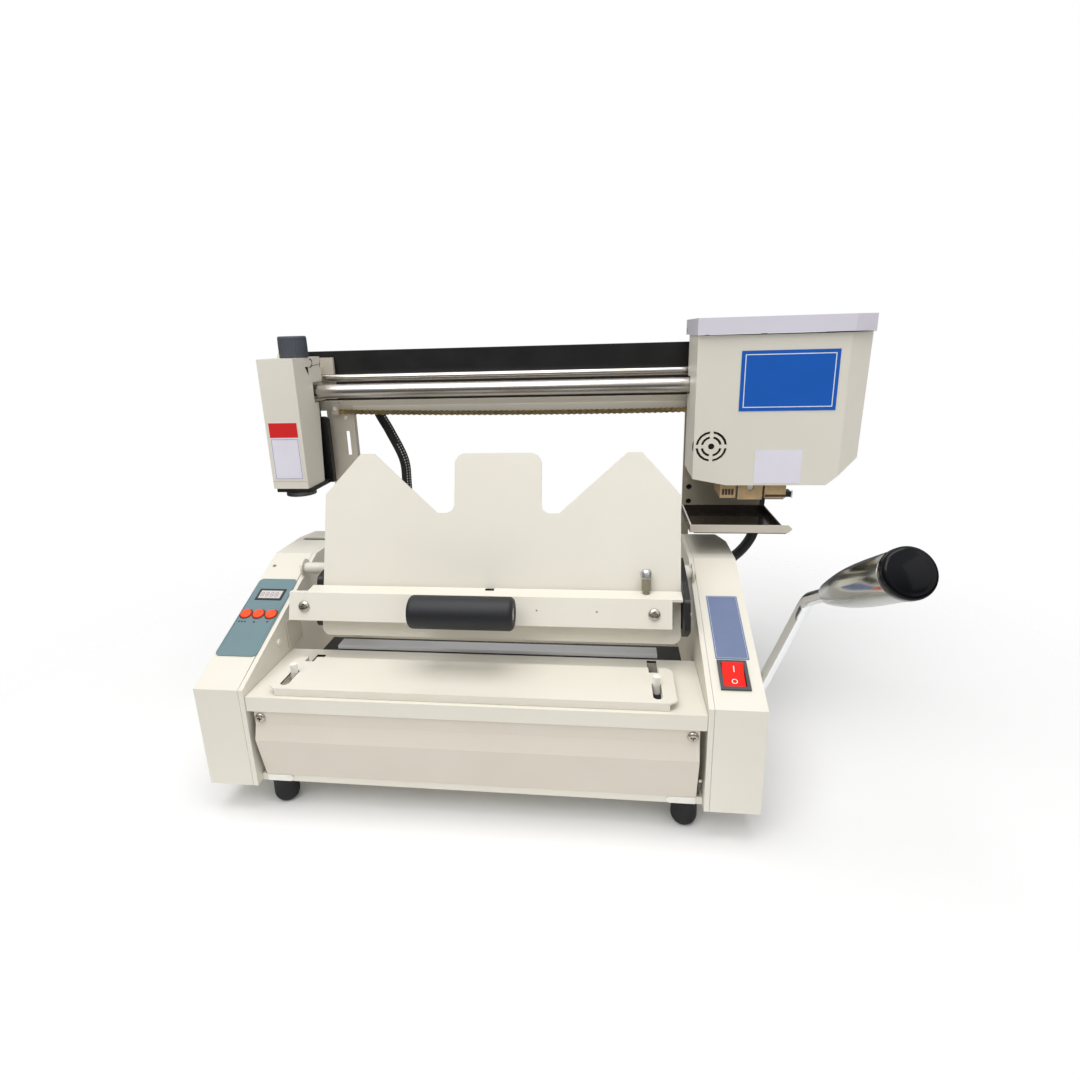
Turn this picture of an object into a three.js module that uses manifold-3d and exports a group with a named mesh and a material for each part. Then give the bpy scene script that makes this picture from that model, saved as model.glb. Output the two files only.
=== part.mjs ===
// Desktop hot-glue book binder: a base with two sloped housings, a flipping book clamp, a nip table
// driven by a side lever, and a glue head and a cutter head that slide on two rails above the clamp.
// Millimetres, +Z up, +Y to the back. X = 0 is the middle of the base while the pieces are placed.
import * as THREE from "three";
import { mergeVertices } from "three/addons/utils/BufferGeometryUtils.js";
import Module from "manifold-3d";

const wasm = await Module();
wasm.setup();

// Shared clearances
const gap = 0.3; // between pieces that touch
const runGap = 1; // beside pieces that turn or slide past each other
const overrun = 3; // how far a cut runs past a face
const weld = 1e-4; // corners closer than this are one
const sheet = 1.5; // folded covers and panels
const plate = 3; // load-carrying plates

// Each object below holds the sizes of one piece. The lines after it work out its places from them.
// A size named "...In" runs inwards from the side it starts at, "...Out" and "...Over" outwards.

// Height of the deck above the floor, and the housings at both ends of the base
const housing = {
  inner: 204.5, width: 47.5, web: 2, lip: 4.5, rim: 2.5, wall: 1.6, base: 30,
  front: 0, frontRise: 7.1, crownRise: 7, slopeOver: 27.5, crown: 83.5,
  cornerX: 8, cornerY: 26, slotOuterIn: 8, slotLength: 32, slotBackIn: 27, slotWidth: 8,
};
const deck = { rise: 93.4, thick: 2, front: 1.3, depth: 93.2, lip: 14.4, backDrop: 22.4 };
deck.top = housing.base + deck.rise;
deck.back = deck.front + deck.depth;
deck.lipBottom = deck.top - deck.lip;
deck.backBottom = deck.top - deck.backDrop;

// Book clamp, in its own frame: p is the distance in front of the pivot, q the height along the plate
const clamp = {
  pivotBehind: 50.5, pivotRise: 70.6, lean: 18.25,
  face: 47.6, thick: 2.5, leftIn: 42.5, rightIn: 15.5, bottomUp: 6.6, shoulder: 76, top: 117, corner: 8,
  peakOuter: 36, peakInner: 50, valleyOuter: 115, valley: 58.3, valleyRound: 8.5,
  tabHalf: 43, tabRound: 11,
  armGap: 1.2, armThick: 5.5, armBoss: 16, axleRadius: 6, flange: 12, earRadius: 10,
  discRadius: 8.7, discThick: 5,
};
clamp.pivotY = deck.back + clamp.pivotBehind;
clamp.pivotZ = deck.top + clamp.pivotRise;
clamp.left = clamp.leftIn - housing.inner;
clamp.right = housing.inner - clamp.rightIn;
clamp.bottom = clamp.bottomUp - clamp.pivotRise;

housing.outer = housing.inner + housing.width;
housing.frontTop = deck.top + housing.frontRise;
housing.slopeEnd = clamp.pivotY + housing.slopeOver;
housing.rearTop = clamp.pivotZ + housing.crownRise;
housing.back = housing.slopeEnd + housing.crown;
housing.slotOuter = housing.outer - housing.slotOuterIn;
housing.slotInner = housing.slotOuter - housing.slotLength;
housing.slotBack = housing.back - housing.slotBackIn;
housing.slotFront = housing.slotBack - housing.slotWidth;
const slopeRun = housing.slopeEnd - housing.front;
const slopeRise = housing.rearTop - housing.frontTop;
const slopeAngle = Math.atan2(slopeRise, slopeRun);

// Base between the housings
const foot = { sideIn: 13.9, front: 24, backIn: 24, radius: 12, tread: 8.5, round: 3.5 };
foot.x = housing.inner - foot.sideIn;
foot.back = housing.back - foot.backIn;

const tray = { floor: 2, rim: 12, front: 9, backIn: 2.5 };
tray.back = housing.back - tray.backIn;

const panel = {
  sideIn: 5.8, faceIn: 2, foldDrop: 13.4, ridgeDrop: 15.1, ridgeOut: 4.8, bottomIn: 9.5, bottomRise: 7.5,
  returnDepth: 12,
};
panel.half = housing.inner - panel.sideIn;
panel.faceY = deck.front + panel.faceIn;
panel.foldTop = deck.lipBottom - panel.foldDrop;
panel.ridgeY = panel.faceY - panel.ridgeOut;
panel.ridgeZ = panel.foldTop - panel.ridgeDrop;
panel.bottomY = panel.ridgeY + panel.bottomIn;
panel.bottomZ = housing.base + panel.bottomRise;

const rearPanel = { height: 78, glandIn: 71.5, glandUp: 65 };
rearPanel.top = housing.base + rearPanel.height;
rearPanel.glandX = rearPanel.glandIn - housing.inner;
rearPanel.glandZ = housing.base + rearPanel.glandUp;

const jaw = {
  leftIn: 32.5, rightIn: 12.5, depth: 29.2, height: 22.1,
  stripLeftIn: 16, stripRightIn: 23, stripFrontIn: 2.7, stripDepth: 15.5, stripRise: 3.6,
};
jaw.left = jaw.leftIn - housing.inner;
jaw.right = housing.inner - jaw.rightIn;
jaw.front = deck.back + gap;
jaw.back = jaw.front + jaw.depth;
jaw.top = deck.top - gap;
jaw.bottom = jaw.top - jaw.height;
jaw.stripLeft = jaw.left + jaw.stripLeftIn;
jaw.stripRight = jaw.right - jaw.stripRightIn;
jaw.stripFront = jaw.front + jaw.stripFrontIn;
jaw.stripBack = jaw.stripFront + jaw.stripDepth;
jaw.stripTop = deck.top + jaw.stripRise;

// Nip table that slides on the deck, guided by two pins in its slots
const guidePin = { radius: 3.4, rise: 9, backIn: 4.6 };
const table = {
  leftIn: 20.5, rightIn: 24.5, flangeIn: 6.5, height: 7.6, front: 5.5, depth: 59.5,
  corner: 5, travel: 18,
  slotStartIn: 6, slotSpare: 2.4, slotWidth: 8, pinLeftIn: 12.5, pinRightIn: 16,
  legIn: 94.5, legFrontIn: 10.5, legDepth: 18, armHalf: 12, armEnd: 10, travelSlot: 1.5,
};
table.left = table.leftIn - housing.inner;
table.right = housing.inner - table.rightIn;
table.flangeLeft = table.left + table.flangeIn;
table.flangeRight = table.right - table.flangeIn;
table.top = deck.top + table.height;
table.back = table.front + table.depth;
table.slotStart = table.front + table.slotStartIn;
table.slotEnd = table.slotStart + table.travel + 2 * guidePin.radius + table.slotSpare;
table.pinLeft = table.left + table.pinLeftIn;
table.pinRight = table.right - table.pinRightIn;
table.legX = housing.inner - table.legIn;
table.legFront = table.front + table.legFrontIn;
table.legBack = table.legFront + table.legDepth;
guidePin.y = table.slotEnd - guidePin.backIn;

// Slots in the deck that run on as notches in the table's back edge
const deckSlot = { width: 9, under: 9, leftBackIn: 11, rightBackIn: 2.5, leftShift: 4, rightShift: 1 };
deckSlot.left = table.pinLeft + deckSlot.leftShift;
deckSlot.right = table.pinRight - deckSlot.rightShift;
deckSlot.front = table.back - deckSlot.under;
deckSlot.leftBack = deck.back - deckSlot.leftBackIn;
deckSlot.rightBack = deck.back - deckSlot.rightBackIn;

// Lever on the right and the nip shaft that it turns. Its bends are places from the pivot, with X from
// the outer side of the housing. At rest the cranks stand halfway through the angle of the stroke.
const lever = {
  pivotBehind: 17.5, drop: 36, shaftRadius: 7, strokeAngle: 40, hubRadius: 14, hubWidth: 9,
  crankWidth: 6, crankHub: 11, crankEnd: 8, crankOut: 6, pinRadius: 4,
  rodRadius: 6.2, rodSides: 14, rodSteps: 24, bend: 7, stub: 9,
  elbow: [54, -9.4, 99.2], sleeveStart: [56.4, -52.6, 122.6], capCentre: [63.4, -175, 188.9],
  sleeve: [[7.6, 0], [9.2, 2.5], [13, 28], [16, 58], [17.4, 96]], sleeveEnd: 17.4, sleeveShort: 9,
  capRadius: 18, capStraight: 6.5, capRim: 3.5, capDome: 2,
};
lever.pivotY = deck.back + lever.pivotBehind;
lever.pivotZ = deck.top - lever.drop;
lever.crankX = table.legX + lever.crankOut;

// Pieces that the clamp carries, in its frame
const bar = {
  leftOut: 26.5, rightIn: 9.5, stand: 18.4, lowUp: 16, height: 27, flangeRise: 6.4, flangeStand: 2.8,
  flangeLeftIn: 17,
  notchX: 8, notchWidth: 9, notchDepth: 5, thick: 2.5,
  guideRadius: 5, guideIn: 22, guideBack: 2, bushRadius: 8, bushLength: 16, guideUp: 13,
};
bar.left = clamp.left - bar.leftOut;
bar.right = clamp.right - bar.rightIn;
bar.face = clamp.face + bar.stand;
bar.low = clamp.bottom + bar.lowUp;
bar.high = bar.low + bar.height;
bar.flangeHigh = bar.high + bar.flangeRise;
bar.flangeFace = clamp.face + bar.flangeStand;
bar.guideX = -clamp.left - bar.guideIn;
bar.guideQ = bar.low + bar.guideUp;

const arm = {
  leftBack: 1.9, rightOver: 2, lowUp: 14, highRise: { left: 43, right: 28 }, backLow: [42, 6],
  heel: [-9, -13], crown: [7, 14.4], shoulder: [45, -5], round: 5,
};
arm.front = { left: bar.flangeFace - arm.leftBack, right: bar.face + arm.rightOver };
arm.frontLow = clamp.bottom + arm.lowUp;
arm.frontHigh = {
  left: arm.frontLow + arm.highRise.left,
  right: arm.frontLow + arm.highRise.right,
};

const grip = {
  centre: -11, length: 97, radius: 15.5, stand: 24, up: 13.5, core: 6, standRadius: 5, standX: 34, foot: 9,
};
grip.p = bar.face + grip.stand;
grip.q = bar.low + grip.up;

const stopPin = { sideIn: 23, stand: 4.6, stem: 3, radius: 4.3, head: 5.3, height: 11, headHeight: 9.5 };
stopPin.x = bar.right - stopPin.sideIn;
stopPin.p = bar.flangeFace + stopPin.stand;

// Posts behind the base
const post = {
  sideIn: 23.5, width: 33, behind: 6.5, depth: 8, web: 2.5, rise: 4, padHeight: 70,
  slotIn: 9.7, slotWidth: 5, slotDrop: 24.2, slotLength: 29,
};
post.inner = housing.inner - post.sideIn;
post.outer = post.inner + post.width;
post.front = housing.back + post.behind;
post.base = housing.base + post.rise;
post.padTop = post.base + post.padHeight;
post.slotX = -post.inner - post.slotIn;

const rightPost = { overlap: 8, width: 87, rise: 4, holeIn: 7, holeRises: [34, 51], holeRadius: 3.2 };
rightPost.inner = post.outer - rightPost.overlap;
rightPost.outer = rightPost.inner + rightPost.width;
rightPost.base = housing.rearTop + rightPost.rise;
rightPost.holeX = rightPost.inner + rightPost.holeIn;

// Drip tray on the right post, above the housing and below the parked glue head
const dripTray = {
  leftOut: 0.5, width: 92.5, length: 82.2, rise: 25.5, depth: 8.5, wall: 1.6, flangeOut: 10.5,
  flangeSlant: 4, headroom: 25.4,
};
dripTray.left = rightPost.inner - dripTray.leftOut;
dripTray.right = dripTray.left + dripTray.width;
dripTray.flangeRight = dripTray.right + dripTray.flangeOut;
dripTray.back = post.front - gap;
dripTray.front = dripTray.back - dripTray.length;
dripTray.bottom = housing.rearTop + dripTray.rise;
dripTray.top = dripTray.bottom + dripTray.depth;

// Rails, beam, brackets and cable channel. The drop and rise of a piece run from the front rail's axis.
const head = {
  parkIn: 8.3, width: 163.7, ahead: 62, depth: 72, rise: 51.3, drop: 96.7, facetX: 22, facetY: 10,
  leftLow: 34, leftLowUp: 6.6, rightLow: 32.7, rightLowUp: 26.4, rightSide: 2.9, wall: 2,
  notchAhead: 10, notchDrop: 9.7, notchRise: 9.3, hang: 16.6,
};
const rail = {
  leftOut: 10, rightOut: 126, bracket: 5, ahead: 19.5, frontRadius: 8,
  rearBehind: 25, rearRise: 13.3, rearRadius: 4.6,
};
head.bottom = dripTray.top + dripTray.headroom + head.hang;
rail.left = -housing.outer - rail.leftOut;
rail.right = housing.outer + rail.rightOut;
rail.frontY = post.front - rail.ahead;
rail.frontZ = head.bottom + head.drop;
rail.rearY = rail.frontY + rail.rearBehind;
rail.rearZ = rail.frontZ + rail.rearRise;

const beam = { depth: 10.5, drop: 13.2, height: 11 };
beam.front = post.front;
beam.back = beam.front + beam.depth;
beam.top = rail.frontZ - beam.drop;
beam.bottom = beam.top - beam.height;
post.top = beam.bottom - gap;
post.back = post.front + post.depth;
post.slotHigh = post.top - post.slotDrop;
post.slotLow = post.slotHigh - post.slotLength;

const bracket = { ahead: 12, depth: 70, drop: 26.7, height: 72, cornerY: 26, cornerZ: 30, round: 6 };
bracket.front = rail.frontY - bracket.ahead;
bracket.back = bracket.front + bracket.depth;
bracket.bottom = rail.frontZ - bracket.drop;
bracket.top = bracket.bottom + bracket.height;

const channel = { depth: 21, rise: 15.3, height: 28.5, collarIn: 11, leftCollarIn: 96, rightCollarIn: 77 };
channel.back = bracket.back;
channel.front = channel.back - channel.depth;
channel.bottom = rail.frontZ + channel.rise;
channel.top = channel.bottom + channel.height;

const chain = {
  leftIn: 66, rightIn: 12, ahead: 7.7, width: 5.2, drop: 21.9, height: 6.4, sag: 4, spans: 14, lug: 8,
};
chain.left = rail.left + chain.leftIn;
chain.right = rail.right - chain.rightIn;
chain.front = post.front - chain.ahead;
chain.back = chain.front + chain.width;
chain.top = rail.frontZ - chain.drop;

// Glue head
head.right = rail.right - head.parkIn;
head.left = head.right - head.width;
head.front = rail.frontY - head.ahead;
head.back = head.front + head.depth;
head.top = rail.frontZ + head.rise;
head.leftLowZ = head.bottom + head.leftLowUp;
head.rightLowZ = head.bottom + head.rightLowUp;
head.notchFront = rail.frontY - head.notchAhead;
head.notchLow = rail.frontZ - head.notchDrop;
head.notchHigh = rail.frontZ + head.notchRise;

const vent = { sideIn: 17.3, up: 39.9, rings: [14.3, 9.2], slit: 2.4, dot: 3.2, spokes: 4, bridge: 3.4 };
vent.x = head.left + vent.sideIn;
vent.z = head.bottom + vent.up;

const lid = {
  over: 1, frontOver: 4.8, backOver: 22, height: 15.5, wall: 2.2, rearLip: 3, pinRise: 5, pinIn: 5,
  pinRadius: 2.4,
};
lid.front = head.front - lid.frontOver;
lid.back = head.back + lid.backOver;
lid.pinZ = head.top + lid.pinRise;
lid.pinY = lid.back - lid.pinIn;

const carriage = {
  sideIn: 16, width: 70, ahead: 12, behind: 34, drop: 11.5, rise: 26.3, bore: 0.4,
  ear: 4, earInset: 3, earAhead: 5, earBehind: 6, earOver: 4,
};
carriage.left = head.left + carriage.sideIn;
carriage.right = carriage.left + carriage.width;
carriage.front = rail.frontY - carriage.ahead;
carriage.back = rail.frontY + carriage.behind;
carriage.bottom = rail.frontZ - carriage.drop;
carriage.top = rail.frontZ + carriage.rise;
carriage.earFront = lid.pinY - carriage.earAhead;
carriage.earBack = lid.pinY + carriage.earBehind;
carriage.earTop = lid.pinZ + carriage.earOver;

const pot = { sideIn: 26, width: 76, up: 7, topIn: 23, wall: 4, floor: 14, boss: 8, bossOver: 16.3 };
pot.left = head.left + pot.sideIn;
pot.right = pot.left + pot.width;
pot.front = head.front + head.wall + gap;
pot.back = carriage.front - gap;
pot.bottom = head.bottom + pot.up;
pot.top = head.top - pot.topIn;
pot.bossBack = pot.back + pot.bossOver;

const roller = {
  sideIn: 59.5, drop: 3.8, radius: 13.5, frontIn: 11.5, length: 29.5, axle: 3, recess: 3.8, axleInset: 0.8,
};
roller.x = head.left + roller.sideIn;
roller.z = head.bottom - roller.drop;
roller.front = head.front + roller.frontIn;
roller.back = roller.front + roller.length;

// The blocks' sides are places from the left side of the head
const applicator = {
  up: 6.6, plate: 8.1, sideDrop: 15, left: [29.5, 45], middle: [47.3, 71.7], right: [74, 95],
  frontIn: 7, length: 40, wall: 3,
};
for (const key of ["left", "middle", "right"]) {
  applicator[key] = applicator[key].map((x) => head.left + x);
}
applicator.front = head.front + applicator.frontIn;
applicator.back = applicator.front + applicator.length;
applicator.top = head.bottom + applicator.up;
applicator.plateBottom = applicator.top - applicator.plate;
applicator.sideBottom = head.bottom - applicator.sideDrop;
applicator.frontBottom = head.bottom - head.hang;

const sprocket = {
  up: 49, radius: 14.4, root: 12, width: 4, teeth: 14, tipShares: [0.3, 0.7], axle: 4, axleIn: 2.3,
};
sprocket.x = roller.x;
sprocket.z = head.bottom + sprocket.up;
sprocket.axleFront = pot.back + sprocket.axleIn;

// Cutter head
const cutter = {
  parkIn: 8, width: 41, ahead: 52, rise: 38.9, drop: 102.7,
  lowAhead: 10, midAhead: 0.5, notchAhead: 11, notchRise: 11.3, topBehind: 14, wall: 1.5,
  spindleIn: 22, spindleFrontIn: 20, motorRadius: 15.5, motorHeight: 80, spindle: 4, spindleDepth: 12,
  discRadius: 16.5, discDrop: 5.6, discThick: 4.8,
  plateThick: 4.3, plateShift: 2, plateFrontIn: 2.5, plateBehind: 10,
  uprightLeftIn: 4, uprightThick: 8, uprightOut: 6, uprightHeight: 73, uprightRound: 6, neckIn: 4,
};
cutter.left = rail.left + cutter.parkIn;
cutter.right = cutter.left + cutter.width;
cutter.front = rail.frontY - cutter.ahead;
cutter.top = rail.frontZ + cutter.rise;
cutter.bottom = rail.frontZ - cutter.drop;
cutter.lowBack = rail.frontY - cutter.lowAhead;
cutter.midBack = rail.frontY - cutter.midAhead;
cutter.notchBack = rail.frontY - cutter.notchAhead;
cutter.notchLow = carriage.bottom;
cutter.notchHigh = rail.frontZ + cutter.notchRise;
cutter.topBack = rail.frontY + cutter.topBehind;
cutter.spindleX = cutter.left + cutter.spindleIn;
cutter.spindleY = cutter.front + cutter.spindleFrontIn;
cutter.motorTop = cutter.bottom + cutter.motorHeight;
cutter.discHigh = cutter.bottom - cutter.discDrop;
cutter.discLow = cutter.discHigh - cutter.discThick;
cutter.plateLow = cutter.bottom - gap - cutter.plateThick;
cutter.plateLeft = cutter.left + cutter.plateShift;
cutter.plateRight = cutter.right + cutter.plateShift;
cutter.plateFront = cutter.front + cutter.plateFrontIn;
cutter.plateBack = rail.frontY + cutter.plateBehind;
cutter.uprightLeft = cutter.left + cutter.uprightLeftIn;
cutter.uprightFront = cutter.plateBack - cutter.uprightThick;
cutter.uprightRight = cutter.right + cutter.uprightOut;
cutter.uprightTop = cutter.bottom + cutter.uprightHeight;
cutter.neckRight = cutter.right - cutter.neckIn;

const cutterCarriage = {
  leftIn: 5, rightIn: 4, ahead: 7, plateIn: 9, plateOut: 8.5, plateBehind: 30, plateRise: 36.8,
};
cutterCarriage.left = cutter.left + cutterCarriage.leftIn;
cutterCarriage.right = cutter.right - cutterCarriage.rightIn;
cutterCarriage.front = rail.frontY - cutterCarriage.ahead;
cutterCarriage.plateLeft = cutter.right - cutterCarriage.plateIn;
cutterCarriage.plateRight = cutter.right + cutterCarriage.plateOut;
cutterCarriage.plateFront = rail.frontY + cutterCarriage.plateBehind;
cutterCarriage.plateTop = rail.frontZ + cutterCarriage.plateRise;

const knob = {
  sideIn: 27, frontIn: 33, radius: 16.6, crown: 14.6, height: 23, edge: 1.5, shaft: 6, depth: 8,
};
knob.x = cutter.left + knob.sideIn;
knob.y = cutter.front + knob.frontIn;

// Controls on the slopes, by their place along the slope from its front edge and inwards from the
// outer side of the housing
const overlay = { sideIn: 1, width: 42.2, low: 38.4, length: 105, thick: 0.6, round: 5 };
overlay.left = overlay.sideIn - housing.outer;
overlay.right = overlay.left + overlay.width;
overlay.high = overlay.low + overlay.length;

const display = {
  sideIn: 22.6, up: 73.6, length: 15.8, width: 28.5, rise: 1.4, depth: 9, rim: 2.2, sink: 0.7,
};
display.centre = display.sideIn - housing.outer;
display.low = overlay.low + display.up;
display.high = display.low + display.length;

const button = { middleIn: 22, pitch: 13.4, up: 53.5, radius: 5.8, rise: 2.9, body: 7, round: 1 };
button.xs = [-1, 0, 1].map((i) => button.middleIn - housing.outer + i * button.pitch);
button.s = overlay.low + button.up;

const bezel = {
  sideIn: 23.1, low: 19.6, length: 31.2, width: 25, rise: 2, depth: 14, collar: 1.5, wall: 2.9,
};
bezel.centre = housing.outer - bezel.sideIn;
bezel.high = bezel.low + bezel.length;

const rocker = { pivot: 0.4, tiltAngle: 10, crestAngle: 6, skirtAngle: 34, dip: 0.6, edgeGap: 0.5 };
const inlet = {
  beside: 2, up: 42, width: 27, height: 31, rim: 2.5, body: 2.2, depth: 16, mouth: 13, mouthEdge: 4,
  pinHalf: 1.2, pinLength: 9, pinX: 5.5, pinZ: 3,
};
inlet.x = post.outer + inlet.beside + inlet.width / 2;
inlet.z = housing.base + inlet.up;

const rightGland = { sideIn: 16.4, drop: 51 };
rightGland.x = housing.outer - rightGland.sideIn;
rightGland.z = housing.rearTop - rightGland.drop;

// Cables: routes chosen by hand
const cable = { radius: 6, sides: 10, steps: 34, collar: 8, collarLength: 5.1 };
const leftRoute = [
  [-166, 290, 383.6], [-166, 290, 366], [-160, 289.5, 345], [-147, 288.5, 320], [-132, 288, 284],
  [-131, 288, 255], [-133, 290, 205], [-133, 291, 150], [-133, 288, 116], [-133, 279, 98],
  [-133, 267, 95], [-133, 261.4, 95],
];
const rightRoute = [
  [301, 290, 383.6], [301, 291, 340], [300, 290, 260], [297, 288, 212], [291, 284, 190],
  [279, 279, 174], [262, 275, 161], [247, 274.5, 153], [238, 271, 150.4], [235.6, 266, 150],
  [235.6, 261.4, 150],
];

// Colours, roughness and metalness of the finishes
const finish = {
  ivory: [0xe4e0d4, 0.45, 0.1], ivoryDark: [0xc9c1b2, 0.5, 0.1], lavender: [0xd7d2e1, 0.5, 0],
  teal: [0x7d9b9f, 0.6, 0], screen: [0x9aa0a0, 0.3, 0], orange: [0xff4b00, 0.4, 0],
  black: [0x1a1b1d, 0.5, 0.1], rubber: [0x141416, 0.85, 0], foam: [0x1c1d20, 0.95, 0],
  chrome: [0xd8dadd, 0.12, 1], steel: [0xaeb0b2, 0.3, 1], brass: [0x8a6a35, 0.35, 1],
  slate: [0x3c4148, 0.6, 0], red: [0xff1e14, 0.35, 0], amber: [0xb98b5a, 0.4, 0],
  aluminium: [0xc2c4c6, 0.35, 1], white: [0xf2f1ec, 0.5, 0], gloss: [0x14110f, 0.15, 0],
};
const materials = Object.fromEntries(
  Object.entries(finish).map(([name, [color, roughness, metalness]]) => [
    name,
    new THREE.MeshStandardMaterial({ name, color, roughness, metalness }),
  ]),
);

const radians = THREE.MathUtils.degToRad;

// Geometry helpers
function toSolid(geometry) {
  const bare = geometry.clone();
  bare.deleteAttribute("normal");
  bare.deleteAttribute("uv");
  const merged = mergeVertices(bare, weld);
  const vertProperties = merged.attributes.position.array;
  const corners = Array.from(merged.index.array);
  const whole = (_, i) => {
    const [a, b, c] = corners.slice(i - (i % 3), i - (i % 3) + 3);
    return a !== b && b !== c && c !== a;
  };
  const triVerts = new Uint32Array(corners.filter(whole));
  return new wasm.Manifold(new wasm.Mesh({ numProp: 3, vertProperties, triVerts }));
}

function toGeometry(solid) {
  const { vertProperties, triVerts } = solid.getMesh();
  const geometry = new THREE.BufferGeometry();
  geometry.setAttribute("position", new THREE.BufferAttribute(vertProperties, 3));
  geometry.setIndex(new THREE.BufferAttribute(triVerts, 1));
  geometry.computeVertexNormals();
  return geometry;
}

const join = (...solids) => solids.reduce((a, b) => a.add(b));
const cut = (solid, ...tools) => tools.reduce((a, b) => a.subtract(b), solid);

// An outline whose corners are [a, b] or [a, b, radius]
function outline(points) {
  const path = new THREE.Shape();
  const n = points.length;
  points.forEach(([a, b, radius = 0], i) => {
    const corner = new THREE.Vector2(a, b);
    if (radius === 0) {
      if (i) path.lineTo(a, b);
      else path.moveTo(a, b);
      return;
    }
    const before = new THREE.Vector2(...points[(i + n - 1) % n]).sub(corner).normalize();
    const after = new THREE.Vector2(...points[(i + 1) % n]).sub(corner).normalize();
    const half = before.angleTo(after) / 2;
    const start = before.clone().multiplyScalar(radius / Math.tan(half)).add(corner);
    const centre = before.clone().add(after).setLength(radius / Math.sin(half)).add(corner);
    const end = after.clone().multiplyScalar(radius / Math.tan(half)).add(corner);
    if (i) path.lineTo(start.x, start.y);
    else path.moveTo(start.x, start.y);
    const from = Math.atan2(start.y - centre.y, start.x - centre.x);
    const to = Math.atan2(end.y - centre.y, end.x - centre.x);
    path.absarc(centre.x, centre.y, radius, from, to, before.cross(after) > 0);
  });
  return path;
}

function extrude(shape, depth, curveSegments = 5) {
  return new THREE.ExtrudeGeometry(shape, { depth, bevelEnabled: false, curveSegments });
}

const asX = new THREE.Matrix4().set(0, 0, 1, 0, 1, 0, 0, 0, 0, 1, 0, 0, 0, 0, 0, 1);
const asY = new THREE.Matrix4().set(1, 0, 0, 0, 0, 0, -1, 0, 0, 1, 0, 0, 0, 0, 0, 1);

// Slabs: an outline in the other two axes, run from low to high along X, Y or Z
function slabX(points, low, high) {
  return toSolid(extrude(outline(points), high - low).applyMatrix4(asX).translate(low, 0, 0));
}
function slabY(points, low, high) {
  return toSolid(extrude(outline(points), high - low).applyMatrix4(asY).translate(0, high, 0));
}
function slabZ(points, low, high) {
  return toSolid(extrude(outline(points), high - low).translate(0, 0, low));
}

function box(x0, x1, y0, y1, z0, z1) {
  const geometry = new THREE.BoxGeometry(x1 - x0, y1 - y0, z1 - z0);
  return toSolid(geometry.translate((x0 + x1) / 2, (y0 + y1) / 2, (z0 + z1) / 2));
}

// A round bar from one point to another, with an end radius of its own where it tapers
function roundBar(from, to, radius, endRadius = radius, sides = 24) {
  const a = new THREE.Vector3(...from);
  const b = new THREE.Vector3(...to);
  const along = b.clone().sub(a);
  const geometry = new THREE.CylinderGeometry(endRadius, radius, along.length(), sides);
  const up = new THREE.Vector3(0, 1, 0);
  geometry.applyQuaternion(new THREE.Quaternion().setFromUnitVectors(up, along.clone().normalize()));
  return toSolid(geometry.translate(...a.add(b).multiplyScalar(0.5).toArray()));
}

function turned(profile, sides = 28) {
  return toSolid(new THREE.LatheGeometry(profile.map((p) => new THREE.Vector2(...p)), sides));
}

function move(solid, x, y, z) {
  return solid.translate([x, y, z]);
}

// Both ends of a span on the left (side -1) or right (side +1), in rising order
function spanX(side, a, b) {
  return side * a < side * b ? [side * a, side * b] : [side * b, side * a];
}

// A convex outline moved inwards by a wall
function inset(points, wall) {
  const n = points.length;
  const centre = points.reduce((s, [a, b]) => [s[0] + a / n, s[1] + b / n], [0, 0]);
  const lines = points.map(([a, b], i) => {
    const [c, d] = points[(i + 1) % n];
    const length = Math.hypot(c - a, d - b);
    let normal = [(b - d) / length, (c - a) / length];
    if ((centre[0] - a) * normal[0] + (centre[1] - b) * normal[1] < 0) normal = normal.map((v) => -v);
    return [normal, normal[0] * a + normal[1] * b + wall];
  });
  return points.map((_, i) => {
    const [[a, b], e] = lines[(i + n - 1) % n];
    const [[c, d], f] = lines[i];
    const det = a * d - b * c;
    return [(e * d - b * f) / det, (a * f - e * c) / det];
  });
}

// Frames: a piece on the slope of a housing, with s up the slope and h out of its face
const slopeFrame = new THREE.Matrix4()
  .makeRotationX(slopeAngle)
  .setPosition(0, housing.front, housing.frontTop);
// a piece of the clamp, with its face towards -Y and its height along +Z before it leans back
const clampFrame = new THREE.Matrix4()
  .makeRotationX(-radians(clamp.lean))
  .setPosition(0, clamp.pivotY, clamp.pivotZ);
const inFrame = (solid, frame) => solid.transform(frame.toArray());

const root = new THREE.Group();
function add(name, solid, material) {
  const mesh = new THREE.Mesh(toGeometry(solid), materials[material]);
  mesh.name = name;
  root.add(mesh);
}

// Housings
const profile = [
  [housing.front, housing.base],
  [housing.back, housing.base],
  [housing.back, housing.rearTop],
  [housing.slopeEnd, housing.rearTop],
  [housing.front, housing.frontTop],
];

// The space a housing fills from its inner side outwards, moved in by a wall, less its rear outer corner
function housingSpace(side, from, wall) {
  const edge = wall ? inset(profile, wall) : profile;
  const run = Math.hypot(housing.cornerX, housing.cornerY);
  const across = [side * housing.cornerY / run, housing.cornerX / run];
  const a = [side * housing.outer, housing.back - housing.cornerY];
  const b = [side * (housing.outer - housing.cornerX), housing.back];
  const past = (p, q) => p.map((v, i) => v + (v - q[i]) / 2 - wall * across[i]);
  const start = past(a, b);
  const end = past(b, a);
  const beyond = housing.rearTop + overrun;
  return cut(
    slabX(edge, ...spanX(side, from, housing.outer - wall)),
    slabZ([start, end, [start[0], end[1]]], 0, beyond),
  );
}

function onSlope(x0, x1, s0, s1, h0, h1) {
  return inFrame(box(x0, x1, s0, s1, h0, h1), slopeFrame);
}

function onSlopeRound(x, s, h0, h1, radius, endRadius = radius) {
  return inFrame(roundBar([x, s, h0], [x, s, h1], radius, endRadius), slopeFrame);
}

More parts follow.
